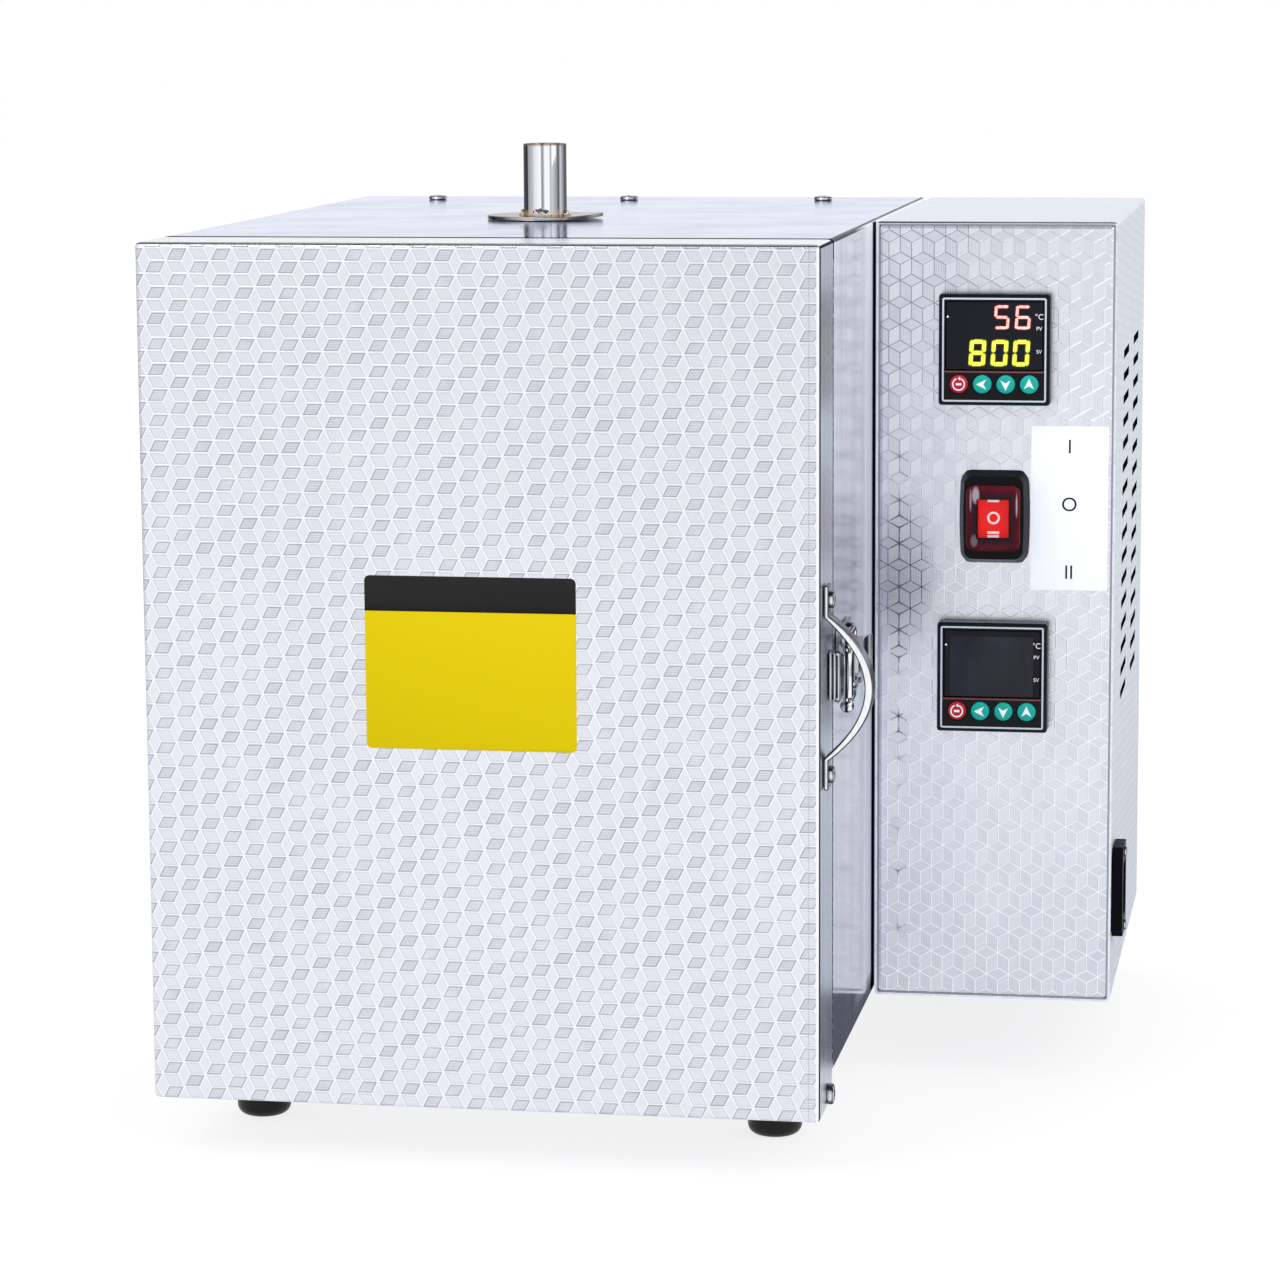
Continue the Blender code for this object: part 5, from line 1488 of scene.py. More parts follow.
@dataclass(frozen=True)
class Studio:
    """Camera, lamps, white surroundings and dark cards."""

    lens: float = 118.0
    sensor: float = 36.0
    place: Triple = (0.29515, -1.834, 0.473)
    pitch: float = 8.67
    roll: float = -0.33
    yaw: float = -9.74
    lamps: tuple[tuple[str, Triple, float, float], ...] = (
        ("key", (-0.9, -1.5, 1.7), 1.1, 9.0), ("fill", (1.6, -0.9, 1.2), 1.0, 4.0))

    def build(self) -> None:
        """Builds the whole studio."""
        self.camera()
        world = bpy.data.worlds.new("white_surroundings")
        bpy.context.scene.world = world
        nodes = Nodes(world)
        nodes.plug(nodes.output.inputs[0], nodes.shader("ShaderNodeBackground", WHITE, 1.0))
        self.floor()
        for lamp in self.lamps:
            self.lamp(*lamp)
        pale, grey, dark, slate, steel = (srgb(*tone) for tone in (
            (214, 216, 222), (128, 130, 140), (34, 35, 42), (92, 94, 106), (150, 152, 164)))
        for card in (
            Card("card_front", (-0.08, -2.35, 0.305), (0.42, 0.09), dark, dark),
            Card("card_left", (-1.26, -0.10, 0.165), (1.40, 0.36), pale, grey, math.pi / 2),
            Card("card_rear_left", (-0.84, 1.02, 0.165), (1.27, 0.35), dark, dark, 0.646),
            Card("card_right", (1.14, -0.42, 0.165), (0.75, 0.36), pale, steel, math.pi / 2),
            Card("card_right_rear", (1.14, 0.36, 0.165), (0.62, 0.36), dark, dark, math.pi / 2),
            Card("card_above", (0.0, -0.25, 1.4), (3.0, 2.1), dark, grey, 0.0, 0.0),
            # Painted shadow: a slate card on the floor under the box, seen only in reflections.
            Card("card_under_box", (0.139, 0.44, 0.0015), (0.100, 0.92), slate, slate, 0.0, 0.0),
        ):
            card.build()

    def camera(self) -> None:
        """Camera at the photograph's place and angle."""
        right, forward, up = (Matrix.Rotation(math.radians(self.roll), 3, "Y")
                              @ Matrix.Rotation(math.radians(self.pitch), 3, "X")
                              @ Matrix.Rotation(math.radians(self.yaw), 3, "Z"))
        data = bpy.data.cameras.new("camera")
        data.lens, data.sensor_width = self.lens, self.sensor
        data.clip_start, data.clip_end = 0.05, 50.0
        camera = bpy.data.objects.new("camera", data)
        basis = Matrix((right, up, -forward)).transposed()
        camera.matrix_world = Matrix.Translation(self.place) @ basis.to_4x4()
        bpy.context.scene.collection.objects.link(camera)
        bpy.context.scene.camera = camera
        bpy.context.scene.view_settings.view_transform = "Standard"

    @staticmethod
    def floor() -> None:
        """White floor that keeps a faint shadow, lit to the camera, in gloss and through clear parts."""
        bpy.ops.mesh.primitive_plane_add(size=24.0)
        floor = bpy.context.object
        floor.name = "floor"
        material = bpy.data.materials.new("white_floor")
        nodes = Nodes(material)
        rays = nodes.node("ShaderNodeLightPath").outputs
        camera, gloss, clear = (Wire(nodes, rays[f"Is {kind} Ray"])
                                for kind in ("Camera", "Glossy", "Transmission"))
        shine = nodes.shader("ShaderNodeEmission", WHITE, camera.most(gloss).most(clear) * 0.80)
        matt = nodes.shader("ShaderNodeBsdfDiffuse", (0.23, 0.23, 0.235, 1.0))
        nodes.plug(nodes.output.inputs[0], nodes.shader("ShaderNodeAddShader", matt, shine))
        floor.data.materials.append(material)

    @staticmethod
    def lamp(name: str, place: Triple, size: float, power: float) -> None:
        """Soft square lamp aimed at the furnace.

        Args:
            name: name of the lamp.
            place: where it hangs.
            size: side of its face.
            power: watts.
        """
        data = bpy.data.lights.new(name, "AREA")
        data.size, data.energy = size, power
        lamp = bpy.data.objects.new(name, data)
        aim = Vector((0.0, 0.0, 0.2)) - Vector(place)
        lamp.matrix_world = Matrix.Translation(place) @ aim.to_track_quat("-Z", "Y").to_matrix().to_4x4()
        bpy.context.scene.collection.objects.link(lamp)


# The furnace's finishes


@dataclass(frozen=True)
class Finishes:
    """Every material of the furnace, built once."""

    door: Material
    panel: Material
    casing: Material
    wrap: Material
    smooth: Material
    bright: Material
    wire: Material
    handle: Material
    pipe: Material
    flange: Material
    weld: Material
    alloy: Material
    fibre: Material
    rope: Material
    porcelain: Material
    rubber: Material
    black: Material
    window: Material
    glass: Material
    red_button: Material
    teal_button: Material
    switch: Material
    cover: Material
    rocker: Material
    inlet: Material
    contact: Material
    relay: Material
    white: Material
    red_glow: Material
    lime_glow: Material
    frame_line: Material
    red_line: Material
    red_halo: Material
    lime_halo: Material
    yellow: Material
    header: Material
    sticker: Material
    ink: Material
    shade_sheet: Material
    seam: Material

    @classmethod
    def build(cls) -> "Finishes":
        """Builds all the materials.

        Returns:
            The set of finishes.
        """
        cubes = CubeEmboss(5.17 * MM, 2.62 * MM, 6.53 * MM, 365.45 * MM, -162.2 * MM, 0.36 * MM)
        small = CubeEmboss(4.9 * MM, 2.75 * MM, 6.8 * MM, 94.66 * MM, 368.97 * MM, 0.26 * MM)
        thin, fine, print_thin = 0.01 * MM, 0.008 * MM, 0.005 * MM
        made = dict(
            door=EmbossedSteel("door_embossed_steel", cubes, Sheet.DOOR, srgb(234, 236, 243),
                               srgb(184, 188, 200), srgb(249, 250, 253), srgb(196, 200, 214)),
            panel=EmbossedSteel("panel_embossed_steel", small, Sheet.PANEL, srgb(233, 236, 244),
                                srgb(176, 180, 194), srgb(250, 251, 254), srgb(214, 217, 226)),
            casing=DrawnSteel("casing_drawn_steel", srgb(233, 237, 250), srgb(216, 218, 231)),
            wrap=EmbossedSteel("shell_embossed_steel", small, Sheet.WRAP, srgb(231, 234, 243),
                               srgb(206, 210, 224), srgb(243, 245, 250), srgb(214, 217, 226), 1.6 * MM, 0.18),
            smooth=SmoothSteel("plain_sheet_steel", srgb(208, 211, 220), 0.26, (1.0, 1.0, 0.1)),
            # outline gives painted reflection and shade: dark eased edges, undersides and +X faces.
            bright=SmoothSteel("plated_fittings_steel", srgb(226, 227, 232), 0.12, marks=0.25,
                               outline=0.85),
            # Painted reflection: black and white bands along the wire and roller.
            wire=PlatedWire("plated_wire_steel"),
            # Painted reflection and shade: dark lines along the handle's edges.
            handle=StrapSteel("polished_handle_steel", srgb(246, 247, 251), srgb(24, 25, 32), 0.22),
            # Painted reflection: streaks across the chimney tube.
            pipe=HeatedSteel("chimney_pipe_steel", 379.5 * MM, 4.5 * MM, 0.05, 411.0 * MM,
                             (-59.15 * MM, -10.0 * MM)),
            # Painted reflection and shade: dark edges on the flange.
            flange=SmoothSteel("chimney_flange_steel", srgb(196, 192, 192), 0.12, marks=0.5, outline=0.9),
            weld=HeatedSteel("weld_bead_steel", 377.0 * MM, 9.0 * MM, 0.16),
            alloy=SmoothSteel("element_alloy", srgb(104, 96, 90), 0.5, marks=0.7),
            fibre=FibreBoard("pressed_fibre_board"),
            rope=RopeWeave("gasket_rope", srgb(236, 232, 222), srgb(150, 142, 128)),
            porcelain=Moulded("glazed_porcelain", srgb(232, 228, 216), 0.18, thin, 0.03, 0.4),
            rubber=Moulded("foot_rubber", srgb(17, 17, 19), 0.35, dust=0.03, shine=0.25),
            black=Moulded("controller_plastic", srgb(15, 16, 20), 0.3, thin, 0.01, shine=0.16),
            window=DarkWindow("display_window_acrylic", srgb(27, 27, 37)),
            glass=DarkWindow("dark_display_glass", srgb(50, 50, 60)),
            # Painted glow on the buttons, which are no lamps.
            red_button=Moulded("red_button_plastic", srgb(196, 34, 56), 0.3, dust=0.02, shine=0.3, glow=0.1),
            teal_button=Moulded("teal_button_plastic", srgb(16, 182, 170), 0.3, dust=0.02, shine=0.3,
                                glow=0.15),
            switch=Moulded("switch_housing_plastic", srgb(15, 16, 22), 0.24, thin, 0.01, shine=0.1),
            cover=CoverSilicone("cover_silicone", srgb(255, 240, 240), srgb(86, 22, 32)),
            rocker=LitRocker("rocker_plastic", srgb(222, 26, 28), 0.55, 250.4 * MM, 8.7 * MM),
            inlet=Moulded("inlet_plastic", srgb(17, 17, 24), 0.4, thin, 0.01, shine=0.02),
            contact=SmoothSteel("contact_brass", srgb(226, 216, 184), 0.2),
            relay=Moulded("relay_plastic", srgb(226, 226, 214), 0.5),
            # Painted glow on the white markings.
            white=Moulded("white_marking", srgb(240, 242, 246), 0.5, print_thin, 0.02, glow=0.35),
            red_glow=Glow("red_segments", srgb(255, 206, 196), srgb(255, 142, 128), 0.8),
            lime_glow=Glow("lime_segments", srgb(246, 252, 84), srgb(226, 240, 40), 0.8),
            # Painted glow on the frame line.
            frame_line=Moulded("controller_frame_line", srgb(214, 228, 246), 0.4, print_thin, 0.02, glow=0.12),
            red_line=Moulded("controller_red_line", srgb(140, 66, 74), 0.5, print_thin, 0.02),
            red_halo=Glow("red_segment_halo", srgb(128, 20, 18), srgb(98, 12, 14), 0.5),
            lime_halo=Glow("lime_segment_halo", srgb(104, 112, 12), srgb(76, 82, 10), 0.5),
            # Painted glow on the yellow plate.
            yellow=Moulded("plate_yellow", srgb(244, 218, 8), 0.42, fine, 0.015, shine=0.1, glow=0.08),
            header=Moulded("plate_black", srgb(34, 32, 34), 0.4, fine, 0.02, shine=0.2),
            # Painted glow on the sticker.
            sticker=Moulded("white_sticker", srgb(242, 246, 255), 0.55, 0.006 * MM, 0.0, shine=0.2, glow=0.44),
            ink=Moulded("black_print", srgb(34, 34, 38), 0.5, print_thin, 0.02, shine=0.2),
            # Painted shade: grey for the frame round the panel's edges.
            seam=SmoothSteel("shaded_seam_steel", srgb(164, 167, 178), 0.4),
            # Painted shade: black for the sheet behind the vents and the strip in the gap.
            shade_sheet=Moulded("vent_baffle", srgb(12, 12, 14), 0.8, dust=0.0, shine=0.05),
        )
        return cls(**{name: finish.build() for name, finish in made.items()})


# Sub-assemblies


@dataclass(frozen=True)
class Assembly:
    """Sub-assembly that is dressed in the furnace's finishes."""

    finishes: Finishes

    def screw(self, name: str, place: Triple, out: Vector, size: Pair, body: str, slot: str) -> None:
        """Pan-head screw with a cross recess.

        Args:
            name: name of the piece.
            place: point of the surface under its middle.
            out: direction that its head points in.
            size: radius and height of its head.
            body: body that it rides on.
            slot: the record's slot.
        """
        radius, height = size
        head = Bench.rod(name, (0.0, 0.0, height / 2), radius, height, 32)
        Bench.edit(head, faces=lambda at, normal: normal.z > 0.9)
        for lift in (0.22, 0.08):
            bpy.ops.mesh.inset(thickness=radius * 0.3, depth=0.0)
            bpy.ops.transform.translate(value=(0.0, 0.0, height * lift))
        Bench.done()
        Bench.ease(head, radius * 0.16, 2, 35.0)
        long, wide = radius * 1.15 / 2, radius * 0.24 / 2
        for x, y in ((wide, long), (long, wide)):
            recess = Bench.block("recess", (-x, -y, height * 0.55), (x, y, height * 2))
            Bench.modify(head, "BOOLEAN", operation="DIFFERENCE", object=recess, solver="EXACT")
            bpy.data.objects.remove(recess)
        aim = UP.rotation_difference(out).to_matrix().to_4x4()
        head.data.transform(Matrix.Translation(place) @ aim @ Matrix.Rotation(0.5 + place[0] * 40, 4, "Z"))
        Bench.dress(Bench.smooth(head, 30.0), self.finishes.bright, body, slot)

    def screws(self, name: str, places: Iterable[Triple], *setting: object) -> None:
        """Screws with numbered names, alike in all but their place.

        Args:
            name: their name, without its number.
            places: points of the surface under their middles.
            setting: their direction, size, body and slot.
        """
        for index, place in enumerate(places):
            self.screw(f"{name}_{index}", place, *setting)


@dataclass(frozen=True)
class Casing(Assembly):
    """Body of the furnace: bent shell, base, back panel, front frame and feet."""

    top_screw_offset: float = 94 * MM
    top_screw_inset: float = 36 * MM
    rear_inset: float = 9 * MM
    foot_round: float = 4.5 * MM
    neck: float = 8.0 * MM

    def build(self) -> None:
        """Dresses the casing."""
        Bench.coat(self.finishes.casing, 0.0, "casing_wrap")
        Bench.coat(self.finishes.smooth, 0.4 * MM, "casing_base", "casing_back_panel", "front_frame")
        low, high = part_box("casing_wrap")
        places = [((low.x + high.x) / 2 + side * self.top_screw_offset, high.y - self.top_screw_inset, high.z)
                  for side in (-1, 0, 1)]
        self.screws("screw_top", places, UP, (4.4 * MM, 1.7 * MM), "furnace", "latch_steel")
        for node, word in (("casing_back_panel", "casing"), ("control_box_back", "box")):
            self.screws("screw_rear_" + word, edge_spots(node, self.rear_inset), REAR, (3.4 * MM, 1.6 * MM),
                        "furnace", "latch_steel")
        for node in ("foot_front_left", "foot_front_right", "foot_rear_left", "foot_rear_right"):
            self.foot(node)
        box_low, box_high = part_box("control_box_shell")
        # Painted shade: a black strip fills the gap between casing and control box.
        strip = Bench.block("box_seal_strip", (high.x + 0.02 * MM, box_low.y + 4.0 * MM, box_low.z + 1.0 * MM),
                            (box_low.x - 0.02 * MM, box_low.y + 14.0 * MM, box_high.z - 0.6 * MM))
        Bench.dress(Bench.ease(strip, 0.25 * MM, 2, 40.0), self.finishes.shade_sheet, "furnace", "foot_rubber")

    def foot(self, node: str) -> None:
        """Rubber bowl in place of a foot's plain solid.

        Args:
            node: name of the solid.
        """
        low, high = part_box(node)
        collar, tall, curve = (high.x - low.x) / 2, high.z - low.z, self.foot_round
        bowl, neck, rim = collar - 1.0 * MM, tall - self.neck, 0.3 * MM
        profile = [(0.0, 1.2 * MM), (4.4 * MM, 1.2 * MM), (5.2 * MM, 0.2 * MM), (5.6 * MM, 0.0)]
        bends = [on_circle(curve, 90 * step / 8) for step in range(9)]
        profile += [(bowl - curve + up, curve - out) for out, up in bends]
        profile += [(bowl, neck - 0.4 * MM), (bowl + rim, neck), (collar - rim, neck),
                    (collar, neck + 0.4 * MM), (collar, tall - rim), (collar - rim, tall), (0.0, tall)]
        foot = Bench.turned(node + "_bowl", ((low.x + high.x) / 2, (low.y + high.y) / 2, low.z), profile, 72)
        Bench.dress(foot, self.finishes.rubber, "furnace", "foot_rubber", node)


def edge_spots(node: str, inset: float) -> list[Triple]:
    """Places of the six screws along the sides of a panel.

    Args:
        node: name of the panel.
        inset: distance from its edges.

    Returns:
        The places on its rear face.
    """
    low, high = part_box(node)
    heights = (low.z + inset, (low.z + high.z) / 2, high.z - inset)
    return [(x, high.y, z) for x in (low.x + inset, high.x - inset) for z in heights]


@dataclass(frozen=True)
class Chimney(Assembly):
    """Exhaust pipe welded into a round flange on the top."""

    wall: float = 1.2 * MM
    lift: float = 0.9 * MM
    rings: int = 5
    bead: float = 2.6 * MM
    beads: tuple[Pair, ...] = ((-96, 1.25), (-80, 1.05), (-8, 0.95), (84, 1.2), (176, 1.0))

    def build(self) -> None:
        """Builds the pipe, the flange and the weld."""
        low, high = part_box("chimney_pipe")
        middle, radius = (low + high) / 2, (high.x - low.x) / 2
        pipe = Bench.hollow(Bench.rod("chimney_tube", middle, radius, high.z - low.z, 128), self.wall, UP)
        Bench.dress(Bench.ease(pipe, 0.3 * MM, 3, 50.0), self.finishes.pipe, "furnace", "chimney_steel",
                    "chimney_pipe")
        self.flange(middle, radius)

    def flange(self, middle: Vector, radius: float) -> None:
        """Builds the flange, bent up a little on its right, and the weld on it.

        Args:
            middle: middle of the pipe.
            radius: the pipe's outer radius.
        """
        low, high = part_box("chimney_flange")
        outer = (high.x - low.x) / 2
        plate = Bench.rod("chimney_collar", (middle.x, middle.y, (low.z + high.z) / 2), outer,
                          high.z - low.z, 128)
        Bench.hollow(plate, (outer - radius) / self.rings - 0.01 * MM, UP, self.rings)
        for vert in plate.data.vertices:
            vert.co.z += self.lift * max(0.0, (vert.co.x - middle.x - radius) / (outer - radius)) ** 2
        Bench.dress(Bench.ease(plate, 0.25 * MM, 2, 50.0), self.finishes.flange, "furnace", "flange_steel",
                    "chimney_flange")
        beads = []
        for index, (angle, size) in enumerate(self.beads):
            bpy.ops.mesh.primitive_ico_sphere_add(subdivisions=4, radius=self.bead * size)
            bead = Bench.keep(f"bead_{index}")
            bead.data.transform(Matrix.Diagonal((1.0, 0.8, 0.85, 1.0)))
            for vert in bead.data.vertices:
                vert.co *= 1.0 + 0.10 * math.sin(vert.co.x * 2600 + index) * math.cos(vert.co.z * 2200)
            x, y = on_circle(radius + 0.2 * MM, angle)
            bead.data.transform(Matrix.Translation((middle.x + x, middle.y + y, high.z + 0.3 * MM))
                                @ Matrix.Rotation(math.radians(angle + 90), 4, "Z"))
            beads.append(bead)
        weld = Bench.smooth(Bench.join("chimney_weld", beads), 60.0)
        Bench.dress(weld, self.finishes.weld, "furnace", "chimney_steel")


@dataclass(frozen=True)
class Door(Assembly):
    """Door: embossed skin, liner, insulation, rope gasket and the two-tone plate."""

    plate_low: Triple = (-98.1 * MM, -200.0 * MM, 173.7 * MM)
    plate_high: Triple = (-11.3 * MM, -200.0 * MM, 244.45 * MM)
    header_low: float = 230.0 * MM
    plate_corner: float = 2.2 * MM
    plate_proud: float = 0.08 * MM
    side_screw: Triple = (87.15 * MM, -173.4 * MM, 29.6 * MM)
    liner_inset: float = 8.0 * MM
    rope_radius: float = 3.4 * MM
    rope_inset: float = 5.0 * MM
    rope_corner: float = 12.0 * MM
    rope_step: float = 2.2 * MM

    def build(self) -> None:
        """Dresses the door."""
        Bench.coat(self.finishes.door, 0.0, "door_skin")
        Bench.coat(self.finishes.smooth, 0.4 * MM, "door_liner")
        Bench.coat(self.finishes.fibre, 1.2 * MM, "door_insulation")
        self.plate()
        self.gasket()
        self.screw("screw_door_side", self.side_screw, RIGHT, (4.4 * MM, 2.2 * MM), "door", "handle_steel")
        self.screws("screw_liner", edge_spots("door_liner", self.liner_inset), REAR, (3.2 * MM, 1.2 * MM),
                    "door", "door_steel")

    def plate(self) -> None:
        """Thin plate on the door's front: yellow, with a black band across its top."""
        (x0, y, z0), (x1, _, z1) = self.plate_low, self.plate_high
        front, corner = y - self.plate_proud, self.plate_corner
        sheet = Bench.card("door_plate", (x0, front, z0), (x1, y + 0.2 * MM, z1), corner, 0.03 * MM)
        Bench.dress(sheet, self.finishes.yellow, "door", "door_steel")
        band = Bench.card("door_plate_band", (x0, front - 0.03 * MM, self.header_low - corner),
                          (x1, y + 0.1 * MM, z1), corner, 0.02 * MM)
        Bench.edit(band)
        bpy.ops.mesh.bisect(plane_co=(0.0, 0.0, self.header_low), plane_no=UP, use_fill=True, clear_inner=True)
        Bench.done()
        Bench.dress(Bench.outward(band), self.finishes.header, "door", "door_steel")

    def gasket(self) -> None:
        """Braided rope in a rounded frame round the chamber's mouth."""
        low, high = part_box("door_gasket")
        y, inset, corner = (low.y + high.y) / 2, self.rope_inset + self.rope_corner, self.rope_corner
        x0, x1, z0, z1 = low.x + inset, high.x - inset, low.z + inset, high.z - inset
        route = []
        for x, z, start in ((x1, z1, 0), (x0, z1, 90), (x0, z0, 180), (x1, z0, 270)):
            bends = [on_circle(corner, start + 9 * step) for step in range(11)]
            route += [Vector((x + aside, y, z + up)) for aside, up in bends]
        dense = []
        for before, after in zip(route, route[1:] + route[:1]):
            parts = max(1, round((after - before).length / self.rope_step))
            dense += [tuple(before.lerp(after, part / parts)) for part in range(parts)]
        rope = Bench.wire("door_gasket_rope", dense, self.rope_radius, True)
        flat = (high.y - low.y) / 2 / self.rope_radius
        for index, vert in enumerate(rope.data.vertices):
            around = math.atan2(vert.co.y - y, vert.co.z + vert.co.x)
            swell = 1.0 + 0.05 * math.sin(index * 0.9 + around * 3) * math.cos(index / len(dense) * 5)
            vert.co.y = y + (vert.co.y - y) * flat * min(1.0, swell)
        Bench.dress(rope, self.finishes.rope, "door", "gasket_rope", "door_gasket")


@dataclass(frozen=True)
class Hardware(Assembly):
    """Hinges, handle and latch on the casing and the door."""

    span: float = 83.0 * MM
    rise: float = 16.4 * MM
    foot: float = 13.0 * MM
    width: float = 10.0 * MM
    thick: float = 3.4 * MM
    thin_share: float = 0.56
    steps: int = 40
    leaf_screw: float = 8.5 * MM
    bail_radius: float = 1.1 * MM
    bail_bend: float = 2.4 * MM
    bail_tail: float = 6.5 * MM
    roller: Pair = (2.4 * MM, 9.6 * MM)
    ribs: int = 3
    rib_depth: float = 0.8 * MM
    keeper_knob: float = 1.3 * MM

    def build(self) -> None:
        """Dresses the hardware."""
        Bench.coat(self.finishes.bright, 0.3 * MM, "latch_base", "latch_lever")
        for word in ("upper", "lower"):
            Bench.coat(self.finishes.bright, 0.2 * MM, "hinge_casing_leaf_" + word, "hinge_door_leaf_" + word)
            self.hinge(word)
        self.latch()
        self.keeper()
        self.handle()

    def pin(self, node: str, word: str, ends: tuple[Pair, ...], steps: int, slot: str) -> None:
        """Turned pin in place of a plain one, the same at both ends.

        Args:
            node: name of the plain pin.
            word: last word of the new pin's name.
            ends: shares of the radius, and heights from the end.
            steps: faces round it.
            slot: the record's slot.
        """
        low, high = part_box(node)
        radius, tall = (high.x - low.x) / 2, high.z - low.z
        profile = [(radius * share, height) for share, height in ends]
        profile += [(reach, tall - height) for reach, height in reversed(profile)]
        place = ((low.x + high.x) / 2, (low.y + high.y) / 2, low.z)
        pin = Bench.turned(f"{node}_{word}", place, profile, steps)
        Bench.dress(pin, self.finishes.bright, "furnace", slot, node)

    def hinge(self, word: str) -> None:
        """Domed pin and the pan-head screws of one hinge.

        Args:
            word: upper or lower.
        """
        ends = ((0.0, 0.0), (0.7, 0.15 * MM), (1.0, 0.6 * MM), (1.0, 0.9 * MM), (0.62, 1.0 * MM))
        self.pin("hinge_pin_" + word, "domed", ends, 32, "hinge_steel")
        for side, body in (("casing", "furnace"), ("door", "door")):
            leaf = f"hinge_{side}_leaf_{word}"
            low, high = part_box(leaf)
            y = high.y - self.leaf_screw if side == "casing" else low.y + self.leaf_screw
            heights = [low.z + (high.z - low.z) * share for share in (0.17, 0.5, 0.83)]
            places = [Bench.seat(leaf, (-1.0, y, z), RIGHT) for z in heights]
            self.screws(f"screw_hinge_{side}_{word}", places, -RIGHT, (2.8 * MM, 0.9 * MM), body, "hinge_steel")

    def latch(self) -> None:
        """Ball-ended pin, round bail wire with its roller, and the base's screws."""
        ends = ((0.0, 0.0), (0.7, 0.25 * MM), (1.0, 1.0 * MM), (0.85, 1.8 * MM), (0.68, 2.1 * MM))
        self.pin("latch_pin", "ball", ends, 40, "latch_steel")
        low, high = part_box("latch_bail")
        thick, bend = self.bail_radius, self.bail_bend
        back_x, front_x, pivot_y, bar_y = low.x + thick, high.x - thick, high.y - thick, low.y + thick
        middle_z, half = (low.z + high.z) / 2, (high.z - low.z) / 2 - thick
        bends = [on_circle(bend, turn) for turn in (30, 60, 90)]
        run = pivot_y - bar_y - 2 * bend
        top = [(back_x, pivot_y, self.bail_tail), (back_x, pivot_y, half - bend)]
        top += [(back_x, pivot_y - bend + out, half - bend + up) for out, up in bends]
        top += [(back_x + (front_x - back_x) * share, pivot_y - bend - run * share, half)
                for share in (0.25, 0.5, 0.75, 1.0)]
        top += [(front_x, bar_y + bend - up, half - bend + out) for out, up in bends]
        route = [(x, y, middle_z + z) for x, y, z in top]
        route += [(x, y, middle_z - z) for x, y, z in reversed(top)]
        bail = Bench.wire("latch_bail_wire", route, thick)
        Bench.dress(bail, self.finishes.wire, "latch_bail", "latch_steel", "latch_bail")
        wide, reach = self.roller
        sleeve = [(thick, -reach), (wide * 0.8, 0.2 * MM - reach), (wide, 0.8 * MM - reach)]
        sleeve += [(out, -height) for out, height in reversed(sleeve)]
        parts = [Bench.turned("latch_roller", (front_x + 0.5 * MM, bar_y, middle_z), sleeve, 40)]
        for side in (-1, 1):
            place = (front_x + 0.4 * MM, bar_y + 1.0 * MM, middle_z + side * (half - 1.2 * MM))
            parts.append(Bench.knob(f"knob_{side}", place, (2.8 * MM, 2.9 * MM), 32, REAR))
        roller = Bench.join("latch_roller", parts)
        Bench.dress(roller, self.finishes.wire, "latch_bail", "latch_steel")
        low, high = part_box("latch_base")
        places = [Bench.seat("latch_base", (1.0, high.y - 7.0 * MM, z), -RIGHT)
                  for z in (low.z + 4.5 * MM, high.z - 4.5 * MM)]
        self.screws("screw_latch", places, RIGHT, (3.0 * MM, 1.4 * MM), "furnace", "latch_steel")

    def keeper(self) -> None:
        """Keeper on the door's edge: ribbed lip with a lug and a knob at each end."""
        low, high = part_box("latch_keeper")
        rib, deep, ball = (high.x - low.x) / self.ribs, self.rib_depth, self.keeper_knob
        bends = [on_circle(1.0, 30 * step) for step in range(1, 7)]
        outline = [(low.x, high.y), (low.x, low.y + deep)]
        for index in range(self.ribs):
            outline += [(low.x + rib * (index + (1 - out) / 2), low.y + deep * (1 - up)) for out, up in bends]
        outline += [(high.x, low.y + 3.4 * MM), (low.x + 2.0 * MM, low.y + 4.6 * MM),
                    (low.x + 1.2 * MM, high.y)]
        lip = Bench.slab("latch_keeper_lip", [(x, y, low.z + 1.0 * MM) for x, y in outline],
                         (0.0, 0.0, high.z - low.z - 2.0 * MM))
        parts = [Bench.ease(lip, 0.15 * MM, 2, 50.0)]
        for index, z in enumerate((low.z + ball, high.z - ball)):
            parts.append(Bench.knob(f"knob_{index}", (high.x - ball, low.y + ball, z), (ball, ball), 24))
        lip = Bench.join("latch_keeper_lip", parts)
        Bench.dress(lip, self.finishes.bright, "door", "latch_steel", "latch_keeper")

    def handle(self) -> None:
        """Bow handle drawn along its curve, with a screw in each foot."""
        low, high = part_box("door_handle")
        middle, half = (low + high) / 2, self.span / 2
        chord = half - self.foot
        strap = Bench.chain("bow_handle", [(low.x, middle.y + side * self.width / 2, middle.z - half)
                                           for side in (-1, 1)])
        shares = [2 * step / self.steps - 1 for step in range(self.steps + 1)]
        route = [(0.0, 0.0, -half), (0.0, 0.0, -chord - 2.0 * MM)]
        route += [(self.rise * (1 - share ** 2), 0.0, chord * share) for share in shares]
        route += [(0.0, 0.0, chord + 2.0 * MM), (0.0, 0.0, half)]
        Bench.edit(strap)
        Bench.extrude(route)
        Bench.done()
        Bench.outward(strap)
        group = strap.vertex_groups.new(name="thick")
        for vert in strap.data.vertices:
            group.add([vert.index], max(0.0, 1 - ((vert.co.z - middle.z) / chord) ** 2), "REPLACE")
        away = sum(face.normal.x for face in strap.data.polygons) > 0
        Bench.modify(strap, "SOLIDIFY", thickness=self.thick, offset=1.0 if away else -1.0,
                     vertex_group=group.name, thickness_vertex_group=self.thin_share)
        Bench.ease(Bench.outward(strap), 1.1 * MM, 5, 40.0)
        Bench.dress(strap, self.finishes.handle, "door", "handle_steel", "door_handle")
        places = [(low.x + self.thick / 2, middle.y, middle.z + side * (half - self.foot * 0.46))
                  for side in (-1, 1)]
